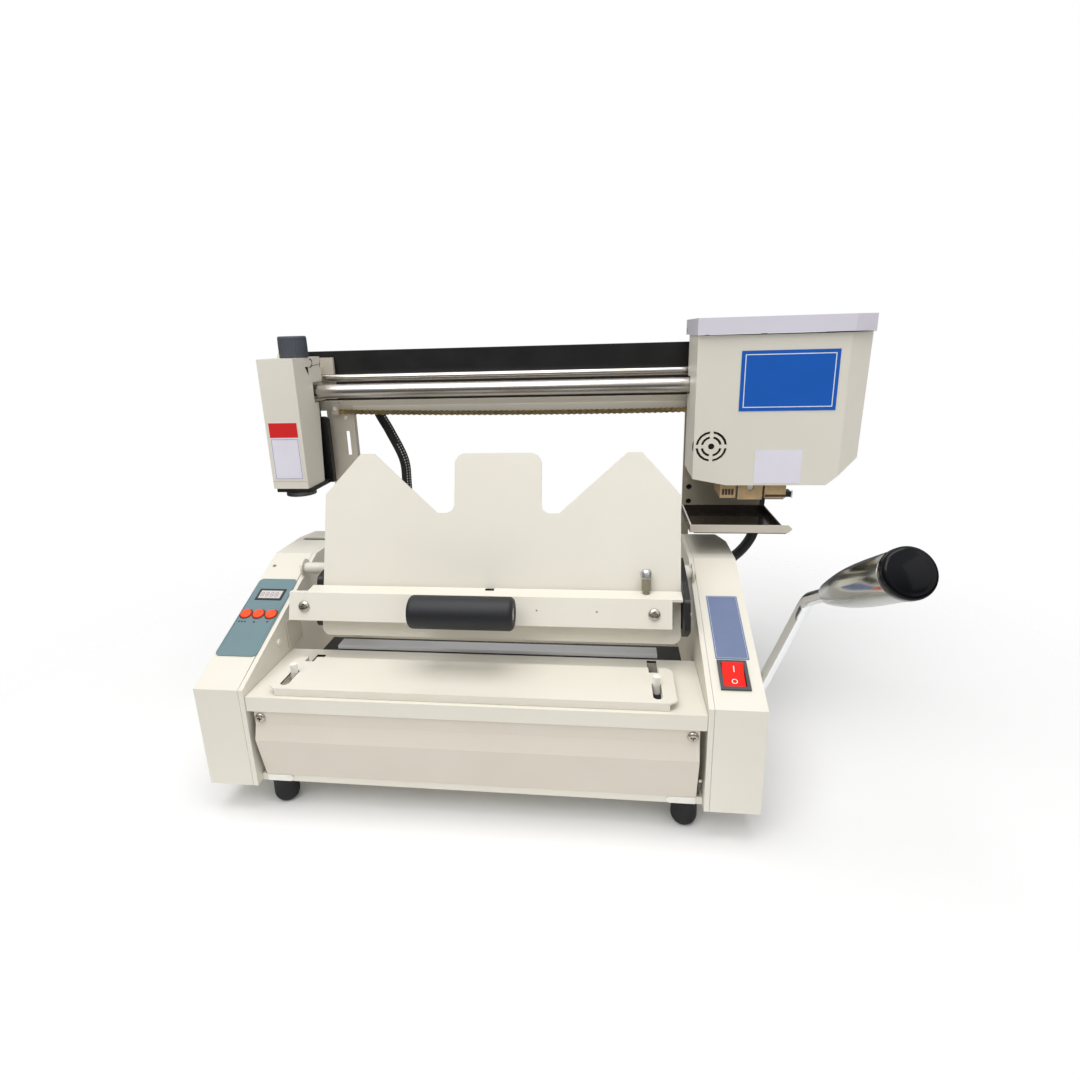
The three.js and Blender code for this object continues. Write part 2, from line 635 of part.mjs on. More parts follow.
function acrossBar(side, y, z, from, to, radius) {
  return roundBar([side * from, y, z], [side * to, y, z], radius);
}

function sidePlate(side) {
  const past = housing.inner - overrun;
  const web = housing.inner + housing.web;
  const beyond = housing.inner + housing.lip + overrun;
  return cut(
    join(
      cut(
        slabX(profile, ...spanX(side, housing.inner, housing.inner + housing.lip)),
        slabX(inset(profile, housing.rim), ...spanX(side, web, beyond)),
      ),
      acrossBar(side, clamp.pivotY, clamp.pivotZ, housing.inner, web, clamp.earRadius),
    ),
    acrossBar(side, clamp.pivotY, clamp.pivotZ, past, beyond, clamp.axleRadius + gap),
    acrossBar(side, lever.pivotY, lever.pivotZ, past, beyond, lever.shaftRadius + gap),
  );
}

function housingCover(side) {
  const from = housing.inner + housing.lip + gap;
  return cut(
    housingSpace(side, from, 0),
    housingSpace(side, from - overrun, housing.wall),
  );
}

function leftCover() {
  const half = display.width / 2 + gap;
  return cut(
    housingCover(-1),
    box(
      -housing.slotOuter, -housing.slotInner, housing.slotFront, housing.slotBack,
      housing.rearTop - overrun, housing.rearTop + overrun,
    ),
    onSlope(
      display.centre - half, display.centre + half, display.low - gap, display.high + gap,
      -overrun, overrun,
    ),
    ...button.xs.map((x) => onSlopeRound(x, button.s, -overrun, overrun, button.radius + gap)),
  );
}

// The collar of a cable where it enters a rear wall
function gland(x, z) {
  return roundBar(
    [x, housing.back - weld, z],
    [x, housing.back + cable.collarLength, z],
    cable.collar,
  );
}

function rightCover() {
  const halfX = bezel.width / 2 - bezel.collar + gap;
  const inletX = inlet.width / 2 - inlet.body + gap;
  const inletZ = inlet.height / 2 - inlet.body + gap;
  const opened = cut(
    housingCover(1),
    onSlope(
      bezel.centre - halfX, bezel.centre + halfX,
      bezel.low + bezel.collar - gap, bezel.high - bezel.collar + gap, -overrun, overrun,
    ),
    box(
      inlet.x - inletX, inlet.x + inletX, housing.back - overrun, housing.back + overrun,
      inlet.z - inletZ, inlet.z + inletZ,
    ),
    acrossBar(
      1, lever.pivotY, lever.pivotZ, housing.outer - overrun, housing.outer + overrun,
      lever.shaftRadius + gap,
    ),
  );
  return join(opened, gland(rightGland.x, rightGland.z));
}

for (const side of [-1, 1]) {
  add(side < 0 ? "left_side_plate" : "right_side_plate", sidePlate(side), "ivory");
}
add("left_housing_cover", leftCover(), "ivory");
add("right_housing_cover", rightCover(), "ivory");

// Base
const innerHalf = housing.inner - gap;
const deckUnder = deck.top - deck.thick;

function baseTray() {
  const top = housing.base + tray.rim;
  const frontTop = panel.bottomZ - gap;
  return cut(
    box(-innerHalf, innerHalf, tray.front, tray.back, housing.base, top),
    box(
      -innerHalf + tray.floor, innerHalf - tray.floor, tray.front + tray.floor,
      tray.back - tray.floor, housing.base + tray.floor, top + overrun,
    ),
    box(
      -innerHalf - overrun, innerHalf + overrun, tray.front - overrun,
      panel.bottomY + panel.returnDepth + gap, frontTop, top + overrun,
    ),
  );
}
add("base_tray", baseTray(), "ivory");

function footSolid(x, y) {
  const top = housing.base - gap;
  const points = [
    [0, 0],
    [foot.tread, 0],
    [foot.radius - foot.round / 4, foot.round / 4],
    [foot.radius, foot.round],
    [foot.radius, top],
    [0, top],
  ];
  const upright = new THREE.Matrix4().makeRotationX(Math.PI / 2);
  return move(inFrame(turned(points), upright), x, y, 0);
}
for (const [name, x, y] of [
  ["foot_front_left", -foot.x, foot.front],
  ["foot_front_right", foot.x, foot.front],
  ["foot_rear_left", -foot.x, foot.back],
  ["foot_rear_right", foot.x, foot.back],
]) add(name, footSolid(x, y), "rubber");

// A sheet folded along a line of points, with its thickness on the inner side
function folded(points, thick) {
  const n = points.length;
  const normals = points.slice(1).map(([a, b], i) => {
    const [c, d] = points[i];
    const length = Math.hypot(a - c, b - d);
    return [(d - b) / length, (a - c) / length];
  });
  const inner = points.map(([a, b], i) => {
    const m = normals[Math.max(i - 1, 0)];
    const k = normals[Math.min(i, n - 2)];
    const share = thick / (1 + m[0] * k[0] + m[1] * k[1]);
    return [a + (m[0] + k[0]) * share, b + (m[1] + k[1]) * share];
  });
  return [...points, ...inner.reverse()];
}

function frontPanel() {
  const line = [
    [panel.bottomY + panel.returnDepth, panel.bottomZ],
    [panel.bottomY, panel.bottomZ],
    [panel.ridgeY, panel.ridgeZ],
    [panel.faceY, panel.foldTop],
    [panel.faceY, deck.lipBottom - gap],
  ];
  return slabX(folded(line.reverse(), sheet), -panel.half, panel.half);
}
add("front_panel", frontPanel(), "ivory");

function deckSlotCut(x, back) {
  const half = deckSlot.width / 2;
  return box(x - half, x + half, deckSlot.front, back, deckUnder - overrun, deck.top + overrun);
}

function deckPlate() {
  const whole = box(-innerHalf, innerHalf, deck.front, deck.back, deck.backBottom, deck.top);
  const under = box(
    -innerHalf - overrun, innerHalf + overrun, deck.front + deck.thick, deck.back - deck.thick,
    deck.backBottom - overrun, deckUnder,
  );
  const belowLip = box(
    -innerHalf - overrun, innerHalf + overrun, deck.front - overrun, deck.front + 2 * deck.thick,
    deck.backBottom - overrun, deck.lipBottom,
  );
  const legs = [-1, 1].map((side) => box(
    side * table.legX - plate / 2 - runGap, side * table.legX + plate / 2 + runGap,
    table.legFront - runGap, table.legBack + table.travel + runGap,
    deckUnder - overrun, deck.top + overrun,
  ));
  const pins = [table.pinLeft, table.pinRight].map((x) => roundBar(
    [x, guidePin.y, deckUnder], [x, guidePin.y, table.top + guidePin.rise], guidePin.radius,
  ));
  return join(
    cut(
      whole, under, belowLip, ...legs,
      deckSlotCut(deckSlot.left, deckSlot.leftBack),
      deckSlotCut(deckSlot.right, deckSlot.rightBack),
    ),
    ...pins,
  );
}
add("deck_plate", deckPlate(), "ivory");

function rearPanelSolid() {
  const wall = box(
    -innerHalf, innerHalf, tray.back + gap, housing.back, housing.base, rearPanel.top,
  );
  return join(wall, gland(rearPanel.glandX, rearPanel.glandZ));
}
add("rear_panel", rearPanelSolid(), "ivory");

add("rear_jaw", box(jaw.left, jaw.right, jaw.front, jaw.back, jaw.bottom, jaw.top), "black");
add(
  "nip_strip",
  box(jaw.stripLeft, jaw.stripRight, jaw.stripFront, jaw.stripBack, deck.top, jaw.stripTop),
  "ivory",
);

// Crank pin of the lever, from the pivot, with the lever at rest
const crankRest = radians(lever.strokeAngle / 2);
const crankRadius = table.travel / 2 / Math.sin(crankRest);
const pinY = lever.pivotY - crankRadius * Math.sin(crankRest);
const pinZ = lever.pivotZ - crankRadius * Math.cos(crankRest);

function tableLeg(x) {
  const low = pinZ - table.armHalf;
  const high = pinZ + table.armHalf;
  const outlinePoints = [
    [table.legFront, low],
    [pinY + table.armEnd, low],
    [pinY + table.armEnd, high],
    [table.legBack, high],
    [table.legBack, table.top - sheet],
    [table.legFront, table.top - sheet],
  ];
  const slot = lever.pinRadius + gap;
  const lowest = lever.pivotZ - crankRadius;
  return cut(
    slabX(outlinePoints, x - plate / 2, x + plate / 2),
    box(
      x - plate, x + plate, pinY - slot, pinY + slot,
      lowest - slot - table.travelSlot, pinZ + slot + table.travelSlot,
    ),
  );
}

function nipTable() {
  const low = deck.top + gap;
  const top = slabZ(
    [
      [table.flangeLeft, table.front],
      [table.flangeRight, table.front],
      [table.right, table.front + table.corner],
      [table.right, table.back - table.corner],
      [table.right - table.corner, table.back],
      [table.left + table.corner, table.back],
      [table.left, table.back - table.corner],
      [table.left, table.front + table.corner],
    ],
    table.top - sheet,
    table.top,
  );
  const half = table.slotWidth / 2;
  const slots = [table.pinLeft, table.pinRight].map((x) => {
    const end = (y) => roundBar([x, y, low], [x, y, table.top + overrun], half);
    return wasm.Manifold.hull([end(table.slotStart + half), end(table.slotEnd - half)]);
  });
  const notchHalf = deckSlot.width / 2;
  const notches = [deckSlot.left, deckSlot.right].map((x) => box(
    x - notchHalf, x + notchHalf, deckSlot.front, table.back + overrun,
    low - overrun, table.top + overrun,
  ));
  return cut(
    join(
      top,
      box(table.flangeLeft, table.flangeRight, table.front, table.front + sheet, low, table.top),
      box(
        table.left + table.corner, table.right - table.corner, table.back - sheet, table.back,
        low, table.top,
      ),
      tableLeg(-table.legX),
      tableLeg(table.legX),
    ),
    ...slots,
    ...notches,
  );
}
add("nip_table", nipTable(), "ivory");

// Lever
const hubEnd = housing.outer + runGap + lever.hubWidth;

function crankArm(side) {
  const x = spanX(side, lever.crankX - lever.crankWidth / 2, lever.crankX + lever.crankWidth / 2);
  const middle = side * lever.crankX;
  const inward = side * (table.legX - plate);
  const bar = (y, z, radius) => roundBar([x[0], y, z], [x[1], y, z], radius);
  const hull = wasm.Manifold.hull([
    bar(lever.pivotY, lever.pivotZ, lever.crankHub),
    bar(pinY, pinZ, lever.crankEnd),
  ]);
  return join(hull, roundBar([middle, pinY, pinZ], [inward, pinY, pinZ], lever.pinRadius));
}

function leverShaft() {
  const end = housing.inner + housing.web + runGap;
  const { pivotY: y, pivotZ: z } = lever;
  return join(
    roundBar([-end, y, z], [hubEnd, y, z], lever.shaftRadius),
    roundBar([housing.outer + runGap, y, z], [hubEnd, y, z], lever.hubRadius),
    crankArm(-1),
    crankArm(1),
  );
}
add("lever_shaft", leverShaft(), "steel");

const point = (p) => new THREE.Vector3(...p);

// A rod through points, with its corners bent to a curve that starts one bend before them
function bentPath(points, bend) {
  const path = new THREE.CurvePath();
  let from = points[0];
  points.slice(1, -1).forEach((corner, i) => {
    const before = corner.clone().add(from.clone().sub(corner).setLength(bend));
    const after = corner.clone().add(points[i + 2].clone().sub(corner).setLength(bend));
    path.add(new THREE.LineCurve3(from, before));
    path.add(new THREE.QuadraticBezierCurve3(before, corner, after));
    from = after;
  });
  path.add(new THREE.LineCurve3(from, points.at(-1)));
  return path;
}

function tube(extrudePath, radius, sides, steps) {
  const ring = new THREE.Shape();
  for (let i = 0; i < sides; i += 1) {
    const angle = (2 * Math.PI * i) / sides;
    const x = radius * Math.cos(angle);
    const y = radius * Math.sin(angle);
    if (i) ring.lineTo(x, y);
    else ring.moveTo(x, y);
  }
  return toSolid(new THREE.ExtrudeGeometry(ring, { steps, extrudePath }));
}

const fromPivot = ([x, y, z]) => point([housing.outer + x, lever.pivotY + y, lever.pivotZ + z]);
const sleeveStart = fromPivot(lever.sleeveStart);
const capCentre = fromPivot(lever.capCentre);
const sleeveAxis = capCentre.clone().sub(sleeveStart).normalize();
const alongSleeve = (distance) => sleeveStart.clone().addScaledVector(sleeveAxis, distance);

function leverRod() {
  const start = point([hubEnd + gap, lever.pivotY, lever.pivotZ]);
  const stub = start.clone().setX(start.x + lever.stub);
  const path = bentPath([start, stub, fromPivot(lever.elbow), alongSleeve(-gap)], lever.bend);
  return tube(path, lever.rodRadius, lever.rodSides, lever.rodSteps);
}
add("lever_rod", leverRod(), "chrome");

// A turned body along the sleeve: its profile holds radius and distance from the sleeve's start
function onSleeve(profilePoints) {
  const turn = new THREE.Quaternion().setFromUnitVectors(point([0, 1, 0]), sleeveAxis);
  const frame = new THREE.Matrix4().makeRotationFromQuaternion(turn).setPosition(sleeveStart);
  return inFrame(turned(profilePoints), frame);
}

const sleeveLength = capCentre.distanceTo(sleeveStart) - lever.sleeveShort;
function leverGrip() {
  return onSleeve([
    [0, 0],
    ...lever.sleeve,
    [lever.sleeveEnd, sleeveLength],
    [0, sleeveLength],
  ]);
}
add("lever_grip", leverGrip(), "chrome");

function leverCap() {
  const base = sleeveLength + gap;
  const straight = base + lever.capStraight;
  const faceRadius = lever.capRadius - lever.capRim;
  const rim = [0, 1, 2, 3, 4].map((i) => {
    const angle = (Math.PI * i) / 8;
    return [faceRadius + lever.capRim * Math.cos(angle), straight + lever.capRim * Math.sin(angle)];
  });
  const top = straight + lever.capRim + lever.capDome;
  return onSleeve([[0, base], [lever.capRadius, base], ...rim, [0, top]]);
}
add("lever_cap", leverCap(), "black");

// Controls
function controlOverlay() {
  const half = display.width / 2 + gap;
  const sheetOutline = [
    [overlay.left, overlay.low, overlay.round],
    [overlay.right, overlay.low, overlay.round],
    [overlay.right, overlay.high, overlay.round],
    [overlay.left, overlay.high, overlay.round],
  ];
  return cut(
    inFrame(slabZ(sheetOutline, gap, gap + overlay.thick), slopeFrame),
    onSlope(
      display.centre - half, display.centre + half, display.low - gap, display.high + gap,
      -overrun, overrun,
    ),
    ...button.xs.map((x) => onSlopeRound(x, button.s, -overrun, overrun, button.radius + gap)),
  );
}
add("control_overlay", controlOverlay(), "teal");

function displayModule() {
  const half = display.width / 2;
  const { centre, low, high, rim } = display;
  return cut(
    onSlope(centre - half, centre + half, low, high, -display.depth, display.rise),
    onSlope(
      centre - half + rim, centre + half - rim, low + rim, high - rim,
      display.rise - display.sink, display.rise + overrun,
    ),
  );
}
add("display_module", displayModule(), "screen");

button.xs.forEach((x, i) => {
  const { s, radius, rise, body, round } = button;
  const solid = join(
    onSlopeRound(x, s, -body, rise - round, radius),
    onSlopeRound(x, s, rise - round, rise, radius, radius - round),
  );
  add(["button_left", "button_middle", "button_right"][i], solid, "orange");
});

function switchBezel() {
  const half = bezel.width / 2;
  const { centre, low, high, collar, wall } = bezel;
  return cut(
    join(
      onSlope(centre - half, centre + half, low, high, gap, bezel.rise),
      onSlope(
        centre - half + collar, centre + half - collar, low + collar, high - collar,
        -bezel.depth, bezel.rise,
      ),
    ),
    onSlope(
      centre - half + wall, centre + half - wall, low + wall, high - wall,
      -bezel.depth + wall, bezel.rise + overrun,
    ),
  );
}
add("switch_bezel", switchBezel(), "black");

const rockerPivot = (bezel.low + bezel.high) / 2;
function rockerSolid() {
  const reach = (bezel.high - bezel.low) / 2 - bezel.wall - rocker.edgeGap;
  const half = bezel.width / 2 - bezel.wall - rocker.edgeGap;
  const corner = (end, angle) => [
    end * reach * Math.cos(radians(angle)), reach * Math.sin(radians(angle)),
  ];
  const points = [
    corner(1, rocker.crestAngle),
    [0, -rocker.dip],
    corner(-1, rocker.crestAngle),
    corner(-1, -rocker.skirtAngle),
    corner(1, -rocker.skirtAngle),
  ];
  const tilt = new THREE.Matrix4()
    .makeRotationX(radians(rocker.tiltAngle))
    .setPosition(0, rockerPivot, rocker.pivot);
  const solid = slabX(points, bezel.centre - half, bezel.centre + half);
  return inFrame(inFrame(solid, tilt), slopeFrame);
}
add("rocker", rockerSolid(), "red");

function mainsInlet() {
  const half = inlet.width / 2;
  const tall = inlet.height / 2;
  const { x, z, body, mouthEdge } = inlet;
  const back = housing.back + gap + inlet.rim;
  const floor = back - inlet.mouth;
  const pins = [[0, inlet.pinZ], [-inlet.pinX, -inlet.pinZ], [inlet.pinX, -inlet.pinZ]];
  return join(
    cut(
      join(
        box(x - half, x + half, housing.back + gap, back, z - tall, z + tall),
        box(x - half + body, x + half - body, back - inlet.depth, back, z - tall + body, z + tall - body),
      ),
      box(
        x - half + mouthEdge, x + half - mouthEdge, floor, back + overrun,
        z - tall + mouthEdge, z + tall - mouthEdge,
      ),
    ),
    ...pins.map(([dx, dz]) => box(
      x + dx - inlet.pinHalf, x + dx + inlet.pinHalf, floor - weld, floor + inlet.pinLength,
      z + dz - 2 * inlet.pinHalf, z + dz + 2 * inlet.pinHalf,
    )),
  );
}
add("mains_inlet", mainsInlet(), "black");

// Clamp pieces are placed upright with Y = -p, then leaned back with the clamp
const addLeaning = (name, solid, material) => add(name, inFrame(solid, clampFrame), material);
const plateBack = clamp.face - clamp.thick;

function clampPlate() {
  const middle = (clamp.left + clamp.right) / 2;
  const half = (clamp.right - clamp.left) / 2;
  const side = (s) => [
    [middle + s * half, clamp.bottom, clamp.corner],
    [middle + s * half, clamp.shoulder],
    [middle + s * (half - clamp.peakOuter), clamp.top],
    [middle + s * (half - clamp.peakInner), clamp.top],
    [middle + s * (half - clamp.valleyOuter), clamp.valley],
    [middle + s * clamp.tabHalf, clamp.valley, clamp.valleyRound],
    [middle + s * clamp.tabHalf, clamp.top, clamp.tabRound],
  ];
  const sheetSolid = slabY([...side(1), ...side(-1).reverse()], -clamp.face, -plateBack);
  const rod = (x, from, to, radius) => roundBar([x, -from, bar.guideQ], [x, -to, bar.guideQ], radius);
  const bushEnd = plateBack - bar.bushLength;
  const bushes = [-1, 1].map((s) => rod(s * bar.guideX, clamp.face, bushEnd, bar.bushRadius));
  const bores = [-1, 1].map((s) => rod(
    s * bar.guideX, clamp.face + overrun, bushEnd - overrun, bar.guideRadius + gap,
  ));
  return cut(join(sheetSolid, ...bushes), ...bores);
}
addLeaning("clamp_plate", clampPlate(), "ivory");

const armInner = { left: clamp.left - clamp.armGap, right: clamp.right + clamp.armGap };

function clampArm(side) {
  const inner = side < 0 ? armInner.left : armInner.right;
  const outer = inner + side * clamp.armThick;
  const low = Math.min(inner, outer);
  const high = Math.max(inner, outer);
  const key = side < 0 ? "left" : "right";
  const corners = [
    [arm.front[key], arm.frontHigh[key], arm.round],
    [arm.front[key], arm.frontLow, arm.round],
    [arm.backLow[0], clamp.bottom + arm.backLow[1], arm.round],
    arm.heel,
    arm.crown,
    ...(side < 0 ? [] : [arm.shoulder]),
  ];
  const blade = slabX(corners.map(([p, q, radius]) => [-p, q, radius]), low, high);
  const flangeEnd = inner - side * clamp.flange;
  const flange = box(
    Math.min(inner, flangeEnd), Math.max(inner, flangeEnd),
    -plateBack + gap, -plateBack + gap + plate, arm.frontLow, arm.frontHigh.right,
  );
  const axleEnd = side * (housing.inner + housing.web);
  return join(
    blade,
    flange,
    roundBar([low, 0, 0], [high, 0, 0], clamp.armBoss),
    roundBar([inner, 0, 0], [axleEnd, 0, 0], clamp.axleRadius),
  );
}
addLeaning("clamp_arm_left", clampArm(-1), "black");
addLeaning("clamp_arm_right", clampArm(1), "black");

function pivotDisc() {
  const from = armInner.right + clamp.armThick + runGap;
  const to = from + clamp.discThick;
  return cut(
    roundBar([from, 0, 0], [to, 0, 0], clamp.discRadius),
    roundBar([from - overrun, 0, 0], [to + overrun, 0, 0], clamp.axleRadius + gap),
  );
}
addLeaning("pivot_disc_right", pivotDisc(), "white");

function clampBar() {
  const line = [
    [-bar.flangeFace, bar.low],
    [-bar.face, bar.low],
    [-bar.face, bar.high],
    [-bar.flangeFace, bar.flangeHigh],
  ];
  const flangeEnd = bar.left + bar.flangeLeftIn;
  const underFace = bar.thick * Math.SQRT2;
  const notchFront = bar.flangeFace + bar.notchDepth;
  const inside = bar.face - bar.thick / 2;
  const rods = [-1, 1].map((s) => roundBar(
    [s * bar.guideX, -inside, bar.guideQ], [s * bar.guideX, -bar.guideBack, bar.guideQ],
    bar.guideRadius,
  ));
  const stem = stopPin.stem + gap;
  return join(
    cut(
      join(
        slabX(folded(line.reverse(), bar.thick), bar.left, bar.right),
        slabX(folded(line.slice(0, 2), bar.thick), bar.right - weld, clamp.right),
      ),
      box(
        bar.left - overrun, flangeEnd, -bar.face + underFace, -bar.flangeFace + overrun,
        bar.high - bar.thick, bar.flangeHigh + overrun,
      ),
      box(
        bar.notchX - bar.notchWidth / 2, bar.notchX + bar.notchWidth / 2,
        -notchFront, -bar.flangeFace + overrun, bar.high, bar.flangeHigh + overrun,
      ),
      roundBar([stopPin.x, -stopPin.p, bar.high - overrun], [stopPin.x, -stopPin.p, overrun], stem),
    ),
    ...rods,
  );
}
addLeaning("clamp_bar", clampBar(), "ivory");

const gripHalf = grip.length / 2;
const standXs = [grip.centre - grip.standX, grip.centre + grip.standX];
function stands(radius, from) {
  return standXs.map((x) => roundBar([x, -from, grip.q], [x, -grip.p, grip.q], radius));
}

function handleCore() {
  const from = bar.face + gap;
  return join(
    roundBar(
      [grip.centre - gripHalf + runGap, -grip.p, grip.q],
      [grip.centre + gripHalf - runGap, -grip.p, grip.q],
      grip.core,
    ),
    ...stands(grip.standRadius, from),
    ...standXs.map((x) => roundBar([x, -from, grip.q], [x, -from - plate, grip.q], grip.foot)),
  );
}
addLeaning("clamp_handle_core", handleCore(), "steel");

function handleGrip() {
  return cut(
    roundBar(
      [grip.centre - gripHalf, -grip.p, grip.q], [grip.centre + gripHalf, -grip.p, grip.q],
      grip.radius,
    ),
    roundBar(
      [grip.centre - gripHalf - overrun, -grip.p, grip.q],
      [grip.centre + gripHalf + overrun, -grip.p, grip.q],
      grip.core + gap,
    ),
    ...stands(grip.standRadius + gap, bar.face),
  );
}
addLeaning("clamp_handle_grip", handleGrip(), "foam");

function stopPinSolid() {
  const at = (high, low, radius, end) => roundBar(
    [stopPin.x, -stopPin.p, low], [stopPin.x, -stopPin.p, high], radius, end,
  );
  const seat = bar.flangeHigh + gap;
  const headLow = seat + stopPin.height;
  return join(
    at(seat, bar.high, stopPin.stem),
    at(headLow, seat, stopPin.radius),
    at(headLow + stopPin.headHeight, headLow, stopPin.head, stopPin.radius),
  );
}
addLeaning("stop_pin", stopPinSolid(), "steel");

// Posts, tray, rails, beam and channel
function postShell(x0, x1, z0, z1) {
  return cut(
    box(x0, x1, post.front, post.back, z0, z1),
    box(x0 + post.web, x1 - post.web, post.front + post.web, post.back + overrun, z0 - overrun, z1 + overrun),
  );
}

function postPad(x0, x1) {
  return box(x0, x1, housing.back + gap, post.front + weld, post.base, post.padTop);
}

function leftPost() {
  const half = post.slotWidth / 2;
  return cut(
    join(postShell(-post.outer, -post.inner, post.base, post.top), postPad(-post.outer, -post.inner)),
    box(
      post.slotX - half, post.slotX + half, post.front - overrun, post.back,
      post.slotLow, post.slotHigh,
    ),
  );
}
add("left_post", leftPost(), "ivoryDark");

function rightPostSolid() {
  const { inner, outer, base, holeX, holeRises, holeRadius } = rightPost;
  const hole = (z) => roundBar([holeX, post.front - overrun, z], [holeX, post.back, z], holeRadius);
  return cut(
    join(
      postShell(post.inner, post.outer, post.base, base + post.depth),
      postShell(inner, outer, base, post.top),
      box(post.inner, outer, post.front, post.front + post.web, base, base + post.depth),
      postPad(post.inner, post.outer),
    ),
    ...holeRises.map((rise) => hole(base + rise)),
  );
}
add("right_post", rightPostSolid(), "ivoryDark");

function dripTraySolid() {
  const { left, right, front, back, top, bottom, wall, flangeRight, flangeSlant } = dripTray;
  return join(
    cut(
      box(left, right, front, back, bottom, top),
      box(left + wall, right - wall, front + wall, back - wall, bottom + wall, top + overrun),
    ),
    slabY(
      [
        [left + wall, bottom],
        [flangeRight - flangeSlant, bottom],
        [flangeRight, bottom + flangeSlant],
        [flangeRight, top - flangeSlant],
        [flangeRight - flangeSlant, top],
        [left + wall, top],
      ],
      front,
      front + wall,
    ),
  );
}
add("drip_tray", dripTraySolid(), "gloss");

const beamLeft = rail.left + rail.bracket + gap;
const beamRight = rail.right - rail.bracket - gap;

function crossBeam() {
  const lugLow = chain.top - chain.height;
  const lug = (x0, x1) => join(
    box(x0, x1, chain.front, post.front - gap, lugLow, beam.top),
    box(x0, x1, chain.front, beam.front + weld, beam.bottom, beam.top),
  );
  return join(
    box(beamLeft, beamRight, beam.front, beam.back, beam.bottom, beam.top),
    lug(chain.left - gap - chain.lug, chain.left - gap),
    lug(chain.right + gap, beamRight),
  );
}
add("cross_beam", crossBeam(), "ivoryDark");

function cableChannel() {
  const { front, back, bottom, top } = channel;
  const collarY = back - channel.collarIn;
  const collar = (x) => roundBar(
    [x, collarY, bottom + weld], [x, collarY, bottom - cable.collarLength], cable.collar,
  );
  return join(
    cut(
      box(beamLeft, beamRight, front, back, bottom, top),
      box(
        beamLeft - overrun, beamRight + overrun, front + sheet, back + overrun,
        bottom + sheet, top - sheet,
      ),
    ),
    collar(rail.left + channel.leftCollarIn),
    collar(rail.right - channel.rightCollarIn),
  );
}
add("cable_channel", cableChannel(), "black");

function railBracket(x0) {
  const { front, back, bottom, top, cornerY, cornerZ, round } = bracket;
  const points = [
    [front, bottom + cornerZ, round],
    [front + cornerY, bottom, round],
    [back, bottom, round],
    [back, top, round],
    [front + cornerY, top, round],
    [front, top - cornerZ, round],
  ];
  return slabX(points, x0, x0 + rail.bracket);
}
add("left_rail_bracket", railBracket(rail.left), "ivoryDark");
add("right_rail_bracket", railBracket(rail.right - rail.bracket), "ivoryDark");
add(
  "front_rail",
  roundBar([beamLeft, rail.frontY, rail.frontZ], [beamRight, rail.frontY, rail.frontZ], rail.frontRadius),
  "chrome",
);
add(
  "rear_rail",
  roundBar([beamLeft, rail.rearY, rail.rearZ], [beamRight, rail.rearY, rail.rearZ], rail.rearRadius),
  "chrome",
);

function driveChain() {
  const upper = [];
  for (let i = 0; i <= chain.spans; i += 1) {
    const t = i / chain.spans;
    upper.push([
      chain.left + t * (chain.right - chain.left),
      chain.top - chain.sag * 4 * t * (1 - t),
    ]);
  }
  const lower = upper.map(([x, z]) => [x, z - chain.height]).reverse();
  return slabY([...upper, ...lower], chain.front, chain.back);
}
add("drive_chain", driveChain(), "brass");

// Bores for the two rails through a block that slides on them
function railBores(x0, x1) {
  const { frontY, frontZ, frontRadius, rearY, rearZ, rearRadius } = rail;
  const bore = (y, z, radius) => roundBar(
    [x0 - overrun, y, z], [x1 + overrun, y, z], radius + carriage.bore,
  );
  return [bore(frontY, frontZ, frontRadius), bore(rearY, rearZ, rearRadius)];
}

// Glue head
const headOutline = [
  [head.left, head.top],
  [head.right, head.top],
  [head.right - head.rightSide, head.rightLowZ],
  [head.right - head.rightLow, head.bottom],
  [head.left + head.leftLow, head.bottom],
  [head.left, head.leftLowZ],
];

// The space the glue head cover fills, moved in by a wall, less its right front corner
function headSpace(wall, front, back, z0, z1) {
  const walls = inset(headOutline, wall);
  const facet = [head.right - head.facetX - wall, head.front];
  const corner = [head.right - wall, head.front + head.facetY];
  const past = (p, q) => p.map((v, i) => v + (v - q[i]));
  const start = past(facet, corner);
  const end = past(corner, facet);
  return cut(
    slabY(walls, front, back),
    slabZ([start, end, [end[0], start[1]]], z0 - overrun, z1 + overrun),
  );
}

function ventCuts() {
  const slits = [];
  const slot = (points) => slits.push(slabY(points, head.front - overrun, head.front + overrun));
  for (const radius of vent.rings) {
    for (let k = 0; k < vent.spokes; k += 1) {
      const quarter = (2 * Math.PI) / vent.spokes;
      const margin = vent.bridge / 2 / radius;
      const from = k * quarter + margin;
      const to = (k + 1) * quarter - margin;
      const side = (r) => [0, 1, 2, 3, 4].map((i) => {
        const angle = from + ((to - from) * i) / 4;
        return [vent.x + r * Math.cos(angle), vent.z + r * Math.sin(angle)];
      });
      slot([...side(radius + vent.slit / 2), ...side(radius - vent.slit / 2).reverse()]);
    }
  }
  slits.push(roundBar(
    [vent.x, head.front - overrun, vent.z], [vent.x, head.front + overrun, vent.z], vent.dot, vent.dot, 12,
  ));
  return slits;
}

function glueHeadCover() {
  const outer = headSpace(0, head.front, head.back, head.bottom, head.top);
  const inner = headSpace(
    head.wall, head.front + head.wall, head.back + overrun, head.bottom, head.top,
  );
  const middle = {
    left: head.left + head.wall, right: head.right - head.facetX - head.wall,
    low: applicator.left[0] - runGap, lowRight: head.right - head.rightLow,
  };
  return cut(
    outer,
    inner,
    box(
      middle.left, middle.right, head.front + head.wall, head.back + overrun,
      head.top - 2 * head.wall, head.top + overrun,
    ),
    box(
      middle.low, middle.lowRight, head.front + head.wall, head.back + overrun,
      head.bottom - overrun, head.bottom + 2 * head.wall,
    ),
    box(
      head.left - overrun, head.right + overrun, head.notchFront, head.back + overrun,
      head.notchLow, head.notchHigh,
    ),
    ...ventCuts(),
  );
}
add("glue_head_cover", glueHeadCover(), "ivory");

